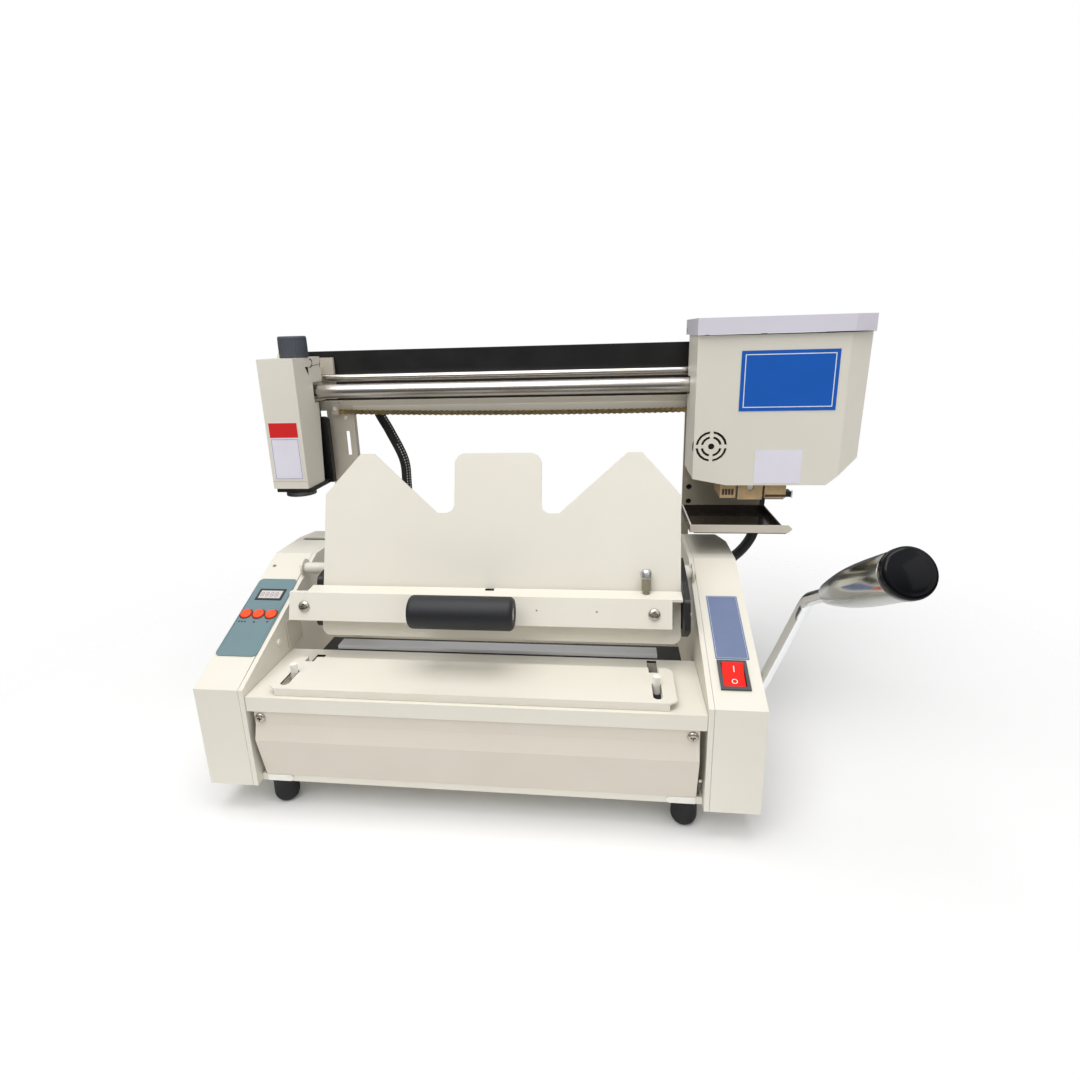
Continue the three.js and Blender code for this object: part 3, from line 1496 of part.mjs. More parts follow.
const lidLeft = head.left - lid.over;
const lidRight = head.right + lid.over;

// The lid's outline follows the cover below it, facet and all, and can be moved in by a wall
const lidOutline = [
  [lidLeft, lid.front],
  [lidRight - head.facetX, lid.front],
  [lidRight, lid.front + head.facetY],
  [lidRight, lid.back],
  [lidLeft, lid.back],
];

function glueLid() {
  const low = head.top + gap;
  const high = low + lid.height;
  const pinCut = roundBar(
    [lidLeft - overrun, lid.pinY, lid.pinZ], [lidRight + overrun, lid.pinY, lid.pinZ],
    lid.pinRadius + gap,
  );
  return cut(
    slabZ(lidOutline, low, high),
    slabZ(inset(lidOutline, lid.wall), low - overrun, high - lid.wall),
    box(
      lidLeft + lid.wall, lidRight - lid.wall, lid.back - lid.wall - overrun, lid.back + overrun,
      low - overrun, high - lid.rearLip,
    ),
    pinCut,
  );
}
add("glue_lid", glueLid(), "lavender");

function glueCarriage() {
  const c = carriage;
  const ear = (x) => box(x, x + c.ear, c.earFront, c.earBack, c.top - overrun, c.earTop);
  return join(
    cut(box(c.left, c.right, c.front, c.back, c.bottom, c.top), ...railBores(c.left, c.right)),
    ear(c.left + c.earInset),
    ear(c.right - c.earInset - c.ear),
    roundBar([lidLeft, lid.pinY, lid.pinZ], [lidRight, lid.pinY, lid.pinZ], lid.pinRadius, lid.pinRadius, 16),
  );
}
add("glue_carriage", glueCarriage(), "black");

function gluePot() {
  const { left, right, bottom, top, wall, floor, boss, bossBack } = pot;
  const reach = roller.radius + runGap;
  return cut(
    join(
      box(left, right, pot.front, pot.back, bottom, top),
      roundBar([sprocket.x, pot.back - wall / 2, sprocket.z], [sprocket.x, bossBack, sprocket.z], boss),
    ),
    box(left + wall, right - wall, pot.front + wall, pot.back - wall, bottom + floor, top + overrun),
    box(
      roller.x - reach, roller.x + reach, roller.front - runGap, roller.back + runGap,
      bottom - overrun, bottom + roller.recess,
    ),
    roundBar(
      [sprocket.x, sprocket.axleFront - gap, sprocket.z], [sprocket.x, bossBack + overrun, sprocket.z],
      sprocket.axle + gap,
    ),
  );
}
add("glue_pot", gluePot(), "aluminium");

function applicatorBlocks() {
  const a = applicator;
  const reach = roller.radius + runGap;
  return cut(
    join(
      box(a.left[0], a.right[1], a.front, a.back, a.plateBottom, a.top),
      box(...a.left, a.front, a.back, a.sideBottom, a.plateBottom + weld),
      box(...a.right, a.front, a.back, a.sideBottom, a.plateBottom + weld),
      box(...a.middle, a.front, a.front + a.wall, a.frontBottom, a.plateBottom + weld),
      box(...a.middle, a.back - a.wall, a.back, a.frontBottom, a.plateBottom + weld),
    ),
    box(
      roller.x - reach, roller.x + reach, roller.front - runGap, roller.back + runGap,
      a.plateBottom - overrun, a.top + overrun,
    ),
    roundBar(
      [roller.x, a.front - overrun, roller.z], [roller.x, a.back + overrun, roller.z],
      roller.axle + gap,
    ),
  );
}
add("applicator_blocks", applicatorBlocks(), "amber");

function glueRoller() {
  const { x, z, radius, front, back, axle, axleInset } = roller;
  return join(
    roundBar([x, front, z], [x, back, z], radius, radius, 36),
    roundBar([x, applicator.front + axleInset, z], [x, applicator.back - axleInset, z], axle),
  );
}
add("glue_roller", glueRoller(), "aluminium");

function glueSprocket() {
  const points = [];
  for (let i = 0; i < sprocket.teeth; i += 1) {
    const at = (share, radius) => {
      const angle = (2 * Math.PI * (i + share)) / sprocket.teeth;
      points.push([sprocket.x + radius * Math.cos(angle), sprocket.z + radius * Math.sin(angle)]);
    };
    at(0, sprocket.root);
    for (const share of sprocket.tipShares) at(share, sprocket.radius);
  }
  const front = (chain.front + chain.back - sprocket.width) / 2;
  return join(
    slabY(points, front, front + sprocket.width),
    roundBar(
      [sprocket.x, sprocket.axleFront, sprocket.z], [sprocket.x, front + sprocket.width, sprocket.z],
      sprocket.axle,
    ),
  );
}
add("glue_sprocket", glueSprocket(), "steel");

// Cutter head
function cutterOutline(wall, past) {
  const c = cutter;
  const front = c.front + wall;
  const top = c.top - wall;
  return [
    [front, c.bottom - past],
    [c.lowBack + past, c.bottom - past],
    [c.midBack + past, c.notchLow],
    [c.notchBack, c.notchLow],
    [c.notchBack, c.notchHigh],
    [c.topBack + past, c.notchHigh],
    [c.topBack + past, top],
    [front, top],
  ];
}

function cutterCover() {
  const c = cutter;
  const room = [
    [c.front + c.wall, c.bottom - overrun],
    [c.topBack + overrun, c.bottom - overrun],
    [c.topBack + overrun, c.top - c.wall],
    [c.front + c.wall, c.top - c.wall],
  ];
  return cut(
    slabX(cutterOutline(0, 0), c.left, c.right),
    slabX(room, c.left + c.wall, c.right - c.wall),
    roundBar([knob.x, knob.y, c.top - overrun], [knob.x, knob.y, c.top + overrun], knob.shaft + gap),
  );
}
add("cutter_cover", cutterCover(), "ivory");

function cutterCarriageSolid() {
  const c = cutterCarriage;
  return join(
    cut(
      box(c.left, c.right, c.front, carriage.back, carriage.bottom, carriage.top),
      ...railBores(c.left, c.right),
    ),
    box(c.plateLeft, c.plateRight, c.plateFront, carriage.back, carriage.bottom, c.plateTop),
  );
}
add("cutter_carriage", cutterCarriageSolid(), "ivoryDark");

// A round bar on the axis of the cutter's spindle
function spindleBar(low, high, radius, sides) {
  const { spindleX: x, spindleY: y } = cutter;
  return roundBar([x, y, low], [x, y, high], radius, radius, sides);
}

function cutterBase() {
  const c = cutter;
  const top = c.bottom - gap;
  return cut(
    join(
      box(c.plateLeft, c.plateRight, c.plateFront, c.plateBack, c.plateLow, top),
      slabY(
        [
          [c.uprightLeft, c.plateLow],
          [c.uprightRight, c.plateLow],
          [c.uprightRight, c.uprightTop, c.uprightRound],
          [c.uprightLeft, c.uprightTop],
        ],
        c.uprightFront,
        c.plateBack,
      ),
      box(
        c.uprightLeft, c.neckRight, c.uprightFront, c.plateBack,
        c.uprightTop - overrun, carriage.bottom - gap,
      ),
      spindleBar(top - weld, c.motorTop, c.motorRadius, 32),
    ),
    spindleBar(c.plateLow - overrun, top + c.spindleDepth, c.spindle + gap),
  );
}
add("cutter_base", cutterBase(), "black");

function cutterDisc() {
  const c = cutter;
  return join(
    spindleBar(c.discLow, c.discHigh, c.discRadius, 36),
    spindleBar(c.discLow, c.bottom + c.spindleDepth - runGap, c.spindle),
  );
}
add("cutter_disc", cutterDisc(), "steel");

function cutterKnob() {
  const low = cutter.top + gap;
  const high = low + knob.height;
  const points = [
    [0, -knob.depth],
    [knob.shaft, -knob.depth],
    [knob.shaft, 0],
    [knob.radius, 0],
    [knob.crown, knob.height - knob.edge],
    [knob.crown - knob.edge, high - low],
    [0, high - low],
  ];
  const upright = new THREE.Matrix4().makeRotationX(Math.PI / 2);
  return move(inFrame(turned(points, 32), upright), knob.x, knob.y, low);
}
add("cutter_knob", cutterKnob(), "slate");

// Cables
function cableSolid(route) {
  const path = new THREE.CatmullRomCurve3(route.map(point), false, "centripetal");
  return tube(path, cable.radius, cable.sides, cable.steps);
}
const cableNames = ["left_cable", "right_cable"];
add(cableNames[0], cableSolid(leftRoute), "black");
add(cableNames[1], cableSolid(rightRoute), "black");

// The whole part stands on the floor over the middle of its own outline, cables left out
const outlineBox = new THREE.Box3();
root.children
  .filter((mesh) => !cableNames.includes(mesh.name))
  .forEach((mesh) => outlineBox.expandByObject(mesh));
const middleOfPart = outlineBox.getCenter(new THREE.Vector3());
root.position.set(-middleOfPart.x, -middleOfPart.y, -outlineBox.min.z);

export default root;
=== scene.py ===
import math

import bmesh
import bpy
from mathutils import Matrix, Vector
from mathutils.bvhtree import BVHTree


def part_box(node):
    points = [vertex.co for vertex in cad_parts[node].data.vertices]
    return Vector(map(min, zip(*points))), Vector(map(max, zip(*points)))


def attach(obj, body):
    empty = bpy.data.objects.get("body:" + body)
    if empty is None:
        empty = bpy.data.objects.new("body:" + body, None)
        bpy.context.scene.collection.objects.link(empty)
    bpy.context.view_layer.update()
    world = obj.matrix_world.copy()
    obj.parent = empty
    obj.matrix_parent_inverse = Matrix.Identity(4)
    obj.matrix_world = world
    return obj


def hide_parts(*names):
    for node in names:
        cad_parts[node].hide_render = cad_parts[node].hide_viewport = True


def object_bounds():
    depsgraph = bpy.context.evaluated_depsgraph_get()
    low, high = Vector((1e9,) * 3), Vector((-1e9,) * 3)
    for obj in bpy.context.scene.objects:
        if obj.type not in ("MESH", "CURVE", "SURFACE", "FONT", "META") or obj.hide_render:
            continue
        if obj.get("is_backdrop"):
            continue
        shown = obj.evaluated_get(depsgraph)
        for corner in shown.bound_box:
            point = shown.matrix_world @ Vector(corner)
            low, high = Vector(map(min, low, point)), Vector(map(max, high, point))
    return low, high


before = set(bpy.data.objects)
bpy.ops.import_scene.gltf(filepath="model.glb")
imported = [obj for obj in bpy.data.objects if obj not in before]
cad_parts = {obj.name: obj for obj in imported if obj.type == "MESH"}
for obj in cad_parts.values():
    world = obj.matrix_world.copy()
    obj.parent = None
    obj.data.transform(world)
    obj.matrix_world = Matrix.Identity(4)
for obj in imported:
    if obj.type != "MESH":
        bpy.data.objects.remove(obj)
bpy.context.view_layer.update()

# Millimetres of the design, whose X = 0 is the middle of the base and Y = 0 the housings' front
MM = 0.001
TRAY_FRONT = 9.0
low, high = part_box("base_tray")
SHIFT = Vector(((low.x + high.x) / 2, low.y - TRAY_FRONT * MM, 0.0))
WORLD = Matrix.Translation(SHIFT) @ Matrix.Scale(MM, 4)

# Frames on the housings' slope, on the leaning clamp's pivot, and with Z to the viewer for front faces
SLOPE_LOW, SLOPE_HIGH, SLOPE_RUN = 130.5, 201, 172.5
SLOPE_ANGLE = math.atan2(SLOPE_HIGH - SLOPE_LOW, SLOPE_RUN)
SLOPE = WORLD @ Matrix.Translation((0, 0, SLOPE_LOW)) @ Matrix.Rotation(SLOPE_ANGLE, 4, "X")
LEAN = math.radians(18.25)
PIVOT = (0, 145, 194)
CLAMP = WORLD @ Matrix.Translation(PIVOT) @ Matrix.Rotation(-LEAN, 4, "X")
FRONT = WORLD @ Matrix(((1, 0, 0, 0), (0, 0, -1, 0), (0, 1, 0, 0), (0, 0, 0, 1)))

# Camera at the photograph's place, from a fit to its edges
FOCAL_PX, FRAME_PX, SENSOR_MM = 642.26, 1080.0, 36.0
CENTRE_PX = (532.99, 519.88)
CAMERA_MM = (122.70, -476.09, 431.34)
YAW, PITCH, ROLL = math.radians(7.13), math.radians(-16.19), math.radians(1.67)
camera = bpy.data.cameras.new("camera")
camera.sensor_width = SENSOR_MM
camera.lens = SENSOR_MM * FOCAL_PX / FRAME_PX
camera.shift_x = (FRAME_PX / 2 - CENTRE_PX[0]) / FRAME_PX
camera.shift_y = (CENTRE_PX[1] - FRAME_PX / 2) / FRAME_PX
camera.clip_start = 0.01
view = bpy.data.objects.new("camera", camera)
turn = Matrix.Rotation(YAW, 3, "Z") @ Matrix.Rotation(PITCH, 3, "X") @ Matrix.Rotation(ROLL, 3, "Y")
right, forward, up = turn.col[0], turn.col[1], turn.col[2]
facing = Matrix((right, up, -forward)).transposed().to_4x4()
view.matrix_world = Matrix.Translation(WORLD @ Vector(CAMERA_MM)) @ facing
bpy.context.scene.collection.objects.link(view)
bpy.context.scene.camera = view
bpy.context.scene.view_settings.view_transform = "Standard"


# Pieces
def V(*p):
    return Vector(p)


def link(obj, body, replaces=()):
    bpy.context.scene.collection.objects.link(obj)
    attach(obj, body)
    if replaces:
        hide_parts(*replaces)
    return obj


def piece(name, verts, faces, mat, body, slot=None, at=WORLD, sharp=35, bevel=None, replaces=(), segments=3):
    mesh = bpy.data.meshes.new(name)
    mesh.from_pydata([at @ Vector(v) for v in verts], [], faces)
    bm = bmesh.new()
    bm.from_mesh(mesh)
    bmesh.ops.remove_doubles(bm, verts=bm.verts, dist=1e-7)
    bmesh.ops.recalc_face_normals(bm, faces=bm.faces)
    bm.to_mesh(mesh)
    bm.free()
    mesh.polygons.foreach_set("use_smooth", [True] * len(mesh.polygons))
    if bevel is None:
        mesh.set_sharp_from_angle(angle=math.radians(sharp))
    mesh.materials.append(mat)
    obj = bpy.data.objects.new(name, mesh)
    if bevel:
        add_bevel(obj, bevel, segments, sharp)
    return link(obj, body, replaces)


def add_bevel(obj, width, segments=2, angle=35):
    mod = obj.modifiers.new("soft_edges", "BEVEL")
    mod.width = width * MM
    mod.segments = segments
    mod.limit_method = "ANGLE"
    mod.angle_limit = math.radians(angle)
    mod.harden_normals = True
    mod.use_clamp_overlap = True
    mod.miter_outer = "MITER_ARC"


def circle(radius, n, z=()):
    """Points on a circle about Z, at the height z where one is given."""
    angles = [2 * math.pi * k / n for k in range(n)]
    return [(radius * math.cos(a), radius * math.sin(a), *z) for a in angles]


def corners(x0, x1, y0, y1, z=()):
    """A rectangle's corners, at the height z where one is given."""
    return [(x0, y0, *z), (x1, y0, *z), (x1, y1, *z), (x0, y1, *z)]


def band(a, b, n):
    """Quads between two rings of n vertices, which begin at a and b."""
    return [(a + k, a + (k + 1) % n, b + (k + 1) % n, b + k) for k in range(n)]


def disc(a, n):
    """One face on the ring of n vertices that begins at a."""
    return tuple(range(a, a + n))


def prism(a, n):
    """The faces between and on two rings of n vertices, one after the other from a."""
    return band(a, a + n, n) + [disc(a, n), disc(a + n, n)]


def rounded(points, steps=6):
    """Corners given as (a, b) or (a, b, radius), as a list of plain points."""
    out = []
    n = len(points)
    for i, p in enumerate(points):
        radius = p[2] if len(p) > 2 else 0
        corner = Vector(p[:2])
        if not radius:
            out.append(corner)
            continue
        before = (Vector(points[i - 1][:2]) - corner).normalized()
        after = (Vector(points[(i + 1) % n][:2]) - corner).normalized()
        half = before.angle(after) / 2
        start = corner + before * (radius / math.tan(half))
        end = corner + after * (radius / math.tan(half))
        centre = corner + (before + after).normalized() * (radius / math.sin(half))
        a0 = math.atan2(start.y - centre.y, start.x - centre.x)
        a1 = math.atan2(end.y - centre.y, end.x - centre.x)
        while a1 - a0 > math.pi:
            a1 -= 2 * math.pi
        while a1 - a0 < -math.pi:
            a1 += 2 * math.pi
        for k in range(steps + 1):
            a = a0 + (a1 - a0) * k / steps
            out.append(centre + radius * Vector((math.cos(a), math.sin(a))))
    return out


AXES = {
    "X": lambda a, b, c: (c, a, b),
    "Y": lambda a, b, c: (a, c, b),
    "Z": lambda a, b, c: (a, b, c),
}


def slab(name, points, axis, lo, hi, mat, body, slot=None, at=WORLD, bevel=0.4, holes=(), **more):
    """An outline in the other two axes run from lo to hi, with holes as further outlines."""
    bm = bmesh.new()
    put = AXES[axis]
    loops = [[bm.verts.new(put(p[0], p[1], lo)) for p in loop] for loop in (points, *holes)]
    if holes:
        edges = [bm.edges.new((ring[i - 1], ring[i])) for ring in loops for i in range(len(ring))]
        bmesh.ops.triangle_fill(bm, edges=edges, use_beauty=True)
        inner = [e for e in bm.edges if len(e.link_faces) == 2]
        bmesh.ops.dissolve_limit(bm, angle_limit=0.01, verts=bm.verts, edges=inner)
    else:
        bm.faces.new(loops[0])
    made = bmesh.ops.extrude_face_region(bm, geom=bm.faces[:])
    rise = Vector(put(0, 0, hi - lo))
    bmesh.ops.translate(bm, verts=[v for v in made["geom"] if isinstance(v, bmesh.types.BMVert)], vec=rise)
    bmesh.ops.recalc_face_normals(bm, faces=bm.faces)
    bm.verts.index_update()
    verts = [tuple(v.co) for v in bm.verts]
    faces = [[v.index for v in f.verts] for f in bm.faces]
    bm.free()
    return piece(name, verts, faces, mat, body, slot, at=at, bevel=bevel, **more)


def block(name, x0, x1, y0, y1, z0, z1, mat, body, slot=None, at=WORLD, bevel=0.4, **more):
    return slab(name, corners(x0, x1, y0, y1), "Z", z0, z1, mat, body, slot, at=at, bevel=bevel, **more)


def spin_frame(origin, direction, at=WORLD):
    """A frame whose Z runs along direction from origin, both in the millimetres of another frame."""
    z = Vector(direction).normalized()
    return at @ Matrix.Translation(origin) @ z.to_track_quat("Z", "Y").to_matrix().to_4x4()


def turned(name, profile, mat, body, slot=None, at=WORLD, n=48, **more):
    """A profile of (radius, height) turned about the frame's Z axis."""
    verts, faces = [], []
    rings = []
    for r, z in profile:
        if r < 1e-6:
            rings.append([len(verts)])
            verts.append((0, 0, z))
            continue
        rings.append(list(range(len(verts), len(verts) + n)))
        verts += circle(r, n, (z,))
    for a, b in zip(rings, rings[1:]):
        for k in range(n):
            m = (k + 1) % n
            if len(a) == 1 and len(b) > 1:
                faces.append((a[0], b[k], b[m]))
            elif len(b) == 1 and len(a) > 1:
                faces.append((a[k], a[m], b[0]))
            elif len(a) > 1:
                faces.append((a[k], a[m], b[m], b[k]))
    return piece(name, verts, faces, mat, body, slot, at=at, **more)


def frames_along(points):
    """Parallel-transport frames along a line of points."""
    tangents = []
    for i in range(len(points)):
        a = points[max(i - 1, 0)]
        b = points[min(i + 1, len(points) - 1)]
        tangents.append((b - a).normalized())
    normal = tangents[0].orthogonal().normalized()
    out = []
    for i, t in enumerate(tangents):
        if i:
            normal = tangents[i - 1].rotation_difference(t) @ normal
        normal = (normal - normal.dot(t) * t).normalized()
        out.append((t, normal, t.cross(normal)))
    return out


def tube(name, points, radius, mat, body, slot=None, n=24, at=WORLD, **more):
    verts, faces = [], []
    for p, (_, a, b) in zip(points, frames_along(points)):
        for k in range(n):
            angle = 2 * math.pi * k / n
            verts.append(p + radius * (math.cos(angle) * a + math.sin(angle) * b))
    for i in range(len(points) - 1):
        faces += band(i * n, (i + 1) * n, n)
    faces += [disc(0, n), disc((len(points) - 1) * n, n)]
    return piece(name, verts, faces, mat, body, slot, at=at, **more)


def smooth_route(points, spacing=2.5):
    """A centripetal Catmull-Rom line through points, sampled evenly."""
    p = [Vector(v) for v in points]
    p = [2 * p[0] - p[1], *p, 2 * p[-1] - p[-2]]
    dense = []
    for i in range(1, len(p) - 2):
        a, b, c, d = p[i - 1:i + 3]
        t0 = 0.0
        t1 = t0 + (b - a).length ** 0.5
        t2 = t1 + (c - b).length ** 0.5
        t3 = t2 + (d - c).length ** 0.5
        for k in range(24):
            t = t1 + (t2 - t1) * k / 24
            a1 = (t1 - t) / (t1 - t0) * a + (t - t0) / (t1 - t0) * b
            a2 = (t2 - t) / (t2 - t1) * b + (t - t1) / (t2 - t1) * c
            a3 = (t3 - t) / (t3 - t2) * c + (t - t2) / (t3 - t2) * d
            b1 = (t2 - t) / (t2 - t0) * a1 + (t - t0) / (t2 - t0) * a2
            b2 = (t3 - t) / (t3 - t1) * a2 + (t - t1) / (t3 - t1) * a3
            dense.append((t2 - t) / (t2 - t1) * b1 + (t - t1) / (t2 - t1) * b2)
    dense.append(p[-2])
    total = sum((b - a).length for a, b in zip(dense, dense[1:]))
    count = max(8, round(total / spacing))
    out, walked, goal = [dense[0]], 0.0, total / count
    for a, b in zip(dense, dense[1:]):
        step = (b - a).length
        while step and walked + step >= goal * len(out) and len(out) < count:
            out.append(a.lerp(b, (goal * len(out) - walked) / step))
        walked += step
    out.append(dense[-1])
    return out


# Materials
def new_material(name, color, roughness, metallic=0.0, **sockets):
    mat = bpy.data.materials.new(name)
    mat.use_nodes = True
    shader = mat.node_tree.nodes["Principled BSDF"]
    shader.inputs["Base Color"].default_value = (*color, 1.0)
    shader.inputs["Roughness"].default_value = roughness
    shader.inputs["Metallic"].default_value = metallic
    for key, value in sockets.items():
        shader.inputs[key.replace("_", " ")].default_value = value
    return mat


def add_node(mat, kind, **values):
    """A node with its sockets or settings set; an underscore stands for a space in a socket's name."""
    node = mat.node_tree.nodes.new(kind)
    for key, value in values.items():
        socket = key.replace("_", " ")
        if socket in node.inputs:
            node.inputs[socket].default_value = value
        else:
            setattr(node, key, value)
    return node


def join_nodes(mat, source, out, target, into):
    mat.node_tree.links.new(source.outputs[out], target.inputs[into])


def noise_on(mat, scale, detail=4.0, stretch=(1, 1, 1)):
    """Noise in object coordinates, in cells per metre."""
    coords = add_node(mat, "ShaderNodeTexCoord")
    mapping = add_node(mat, "ShaderNodeMapping", Scale=stretch)
    join_nodes(mat, coords, "Object", mapping, "Vector")
    noise = add_node(mat, "ShaderNodeTexNoise", Scale=scale, Detail=detail, Roughness=0.55)
    join_nodes(mat, mapping, "Vector", noise, "Vector")
    return noise


def join_shader(mat, source, out, into):
    join_nodes(mat, source, out, mat.node_tree.nodes["Principled BSDF"], into)


def add_ramp(mat, *stops):
    """A ramp through (position, colour) stops, of which the first two are its ends."""
    ramp = add_node(mat, "ShaderNodeValToRGB")
    tones = ramp.color_ramp.elements
    for i, (position, color) in enumerate(stops):
        tone = tones[i] if i < 2 else tones.new(position)
        tone.position = position
        tone.color = (*color, 1.0)
    return ramp


# Nearly all of a noise's values lie between these two
NOISE_LOW, NOISE_HIGH = 0.3, 0.7


def vary_color(mat, color, amount, scale, tint=(1, 1, 1)):
    """The colour drifts a little over the surface, darker by amount where the noise is low."""
    noise = noise_on(mat, scale)
    dark = [c * (1 - amount * t) for c, t in zip(color, tint)]
    ramp = add_ramp(mat, (NOISE_LOW, dark), (NOISE_HIGH, color))
    join_nodes(mat, noise, "Fac", ramp, "Fac")
    join_shader(mat, ramp, "Color", "Base Color")


def vary_roughness(mat, lowest, highest, scale, stretch=(1, 1, 1)):
    noise = noise_on(mat, scale, 3.0, stretch)
    limits = {"From_Min": NOISE_LOW, "From_Max": NOISE_HIGH, "To_Min": lowest, "To_Max": highest}
    span = add_node(mat, "ShaderNodeMapRange", **limits)
    join_nodes(mat, noise, "Fac", span, "Value")
    join_shader(mat, span, "Result", "Roughness")


def grain(mat, scale, strength, depth=0.0001, detail=2.0, stretch=(1, 1, 1)):
    noise = noise_on(mat, scale, detail, stretch)
    bump = add_node(mat, "ShaderNodeBump", Strength=strength, Distance=depth)
    join_nodes(mat, noise, "Fac", bump, "Height")
    join_shader(mat, bump, "Normal", "Normal")


def srgb(r, g, b):
    return tuple(((c / 255 + 0.055) / 1.055) ** 2.4 if c > 10 else c / 255 / 12.92 for c in (r, g, b))


def powder(name, color, roughness=0.42, texture=0.35):
    mat = new_material(name, color, roughness)
    vary_color(mat, color, 0.045, 9.0, (0.8, 1.0, 1.4))
    vary_roughness(mat, roughness - 0.06, roughness + 0.08, 40.0)
    grain(mat, 1900.0, texture, 0.00006)
    return mat


def drifting(name, color, roughness, amount, scale, metallic=0.0, **sockets):
    """A material whose colour drifts evenly."""
    mat = new_material(name, color, roughness, metallic, **sockets)
    vary_color(mat, color, amount, scale)
    return mat


ivory = powder("ivory_powder_coat", srgb(229, 225, 213))
beige = powder("beige_powder_coat", srgb(208, 201, 187), 0.45)
lid_paint = powder("lid_paint", srgb(222, 218, 230), 0.36, 0.2)
black_coat = powder("black_coat", srgb(24, 24, 25), 0.4, 0.3)
black_plastic = new_material("black_plastic", srgb(22, 22, 24), 0.42)
grain(black_plastic, 2600.0, 0.25, 0.00005)
vary_roughness(black_plastic, 0.36, 0.5, 60.0)
coat = {"Coat_Weight": 0.05, "Coat_Roughness": 0.08}
gloss_black = new_material("gloss_black", srgb(9, 10, 14), 0.14, Specular_IOR_Level=0.16, **coat)
vary_roughness(gloss_black, 0.08, 0.18, 30.0)
rubber = drifting("rubber", srgb(30, 30, 32), 0.78, 0.35, 60.0)
grain(rubber, 1400.0, 0.4, 0.00008)
foam = drifting("foam", srgb(22, 23, 28), 0.55, 0.35, 900.0)
grain(foam, 2400.0, 0.5, 0.0001, 4.0)
chrome = new_material("chrome", (0.86, 0.87, 0.88), 0.07, 1.0)
vary_roughness(chrome, 0.04, 0.11, 25.0)
grain(chrome, 90.0, 0.02, 0.0001)
rail_chrome = new_material("rail_chrome", (0.52, 0.49, 0.455), 0.24, 1.0)
vary_roughness(rail_chrome, 0.22, 0.27, 14.0, (0.05, 1, 1))
grain(rail_chrome, 700.0, 0.05, 0.00004, 2.0, (0.02, 1, 1))
steel = new_material("bright_steel", (0.62, 0.62, 0.62), 0.28, 1.0)
vary_roughness(steel, 0.2, 0.36, 80.0)
grain(steel, 1200.0, 0.12, 0.00004, 2.0, (0.2, 1, 1))
dark_steel = new_material("dark_steel", (0.2, 0.2, 0.21), 0.36, 1.0)
vary_roughness(dark_steel, 0.3, 0.44, 80.0)
screw_steel = new_material("screw_steel", (0.5, 0.46, 0.4), 0.28, 1.0)
vary_roughness(screw_steel, 0.16, 0.34, 300.0)
brass = drifting("chain_brass", (0.56, 0.42, 0.2), 0.3, 0.6, 400.0, 1.0)
vary_roughness(brass, 0.25, 0.5, 220.0)
aluminium = new_material("pot_aluminium", (0.7, 0.7, 0.71), 0.36, 1.0)
vary_roughness(aluminium, 0.3, 0.5, 60.0)
grain(aluminium, 500.0, 0.2, 0.0001)
slate = drifting("slate_plastic", srgb(74, 79, 88), 0.55, 0.2, 120.0)
grain(slate, 1500.0, 0.3, 0.00006)
teal = drifting("overlay_film", srgb(107, 133, 139), 0.5, 0.05, 30.0)
grain(teal, 3000.0, 0.12, 0.00003)
teal_mark = drifting("overlay_marks", srgb(38, 58, 66), 0.5, 0.08, 90.0)
orange = new_material("button_orange", srgb(255, 74, 4), 0.3)
vary_roughness(orange, 0.24, 0.38, 200.0)
red = drifting("rocker_red", srgb(252, 36, 22), 0.42, 0.12, 90.0, Specular_IOR_Level=0.15)
amber = drifting("applicator_amber", srgb(200, 172, 128), 0.42, 0.32, 70.0, 0.15)
vary_roughness(amber, 0.3, 0.55, 120.0)
nylon = drifting("nylon", srgb(242, 240, 232), 0.5, 0.06, 120.0)
coat = {"Coat_Weight": 0.3, "Coat_Roughness": 0.1}
tray_gloss = drifting("tray_gloss", srgb(44, 33, 27), 0.16, 0.4, 26.0, **coat)
vary_roughness(tray_gloss, 0.1, 0.3, 40.0)
screen_frame = new_material("screen_frame", srgb(26, 34, 38), 0.35)
grain(screen_frame, 2000.0, 0.1, 0.00003)
lcd = drifting("lcd", srgb(208, 202, 199), 0.14, 0.05, 90.0, Coat_Weight=0.5)
segment = drifting("lcd_segment", srgb(128, 118, 120), 0.4, 0.1, 90.0)
white_print = drifting("white_print", srgb(240, 240, 242), 0.42, 0.04, 60.0)
sticker = drifting("pale_sticker", srgb(233, 230, 241), 0.36, 0.03, 60.0)
grain(sticker, 600.0, 0.05, 0.00003)
blue = drifting("blue_plate", srgb(0, 93, 192), 0.36, 0.06, 40.0)
red_band = drifting("red_band", srgb(222, 30, 32), 0.36, 0.06, 60.0)
violet = drifting("blue_violet_film", srgb(106, 120, 154), 0.5, 0.07, 50.0)
violet_edge = drifting("film_edge", srgb(186, 194, 216), 0.45, 0.05, 50.0)
# Painted shade: near-black put in slots, holes, cut-outs, a notch and under parts, where they lie in shade
black_painted_shade = drifting("near_black_painted_shade", srgb(14, 14, 15), 0.8, 0.3, 200.0)
bare_print = drifting("grey_print", srgb(98, 106, 128), 0.5, 0.08, 90.0)
sleeve_chrome = new_material("sleeve_chrome", (0.46, 0.465, 0.44), 0.13, 1.0)
vary_roughness(sleeve_chrome, 0.1, 0.2, 60.0, (1, 1, 0.05))
strip_metal = new_material("strip_metal", srgb(226, 227, 231), 0.36, 0.15)
vary_roughness(strip_metal, 0.32, 0.4, 60.0)
grain(strip_metal, 900.0, 0.06, 0.00003, 2.0, (0.1, 1, 1))
panel_paint = powder("panel_paint", srgb(219, 211, 198), 0.42)
# Painted shade: a darker beige for parts that lie in the shade under the glue head
beige_painted_shade = powder("darker_beige_painted_shade", srgb(158, 151, 134), 0.5)
olive = drifting("olive_metal", srgb(150, 144, 120), 0.45, 0.15, 200.0, 0.3)
bezel_slate = new_material("bezel_slate", srgb(58, 62, 66), 0.4)
grain(bezel_slate, 1800.0, 0.25, 0.00005)
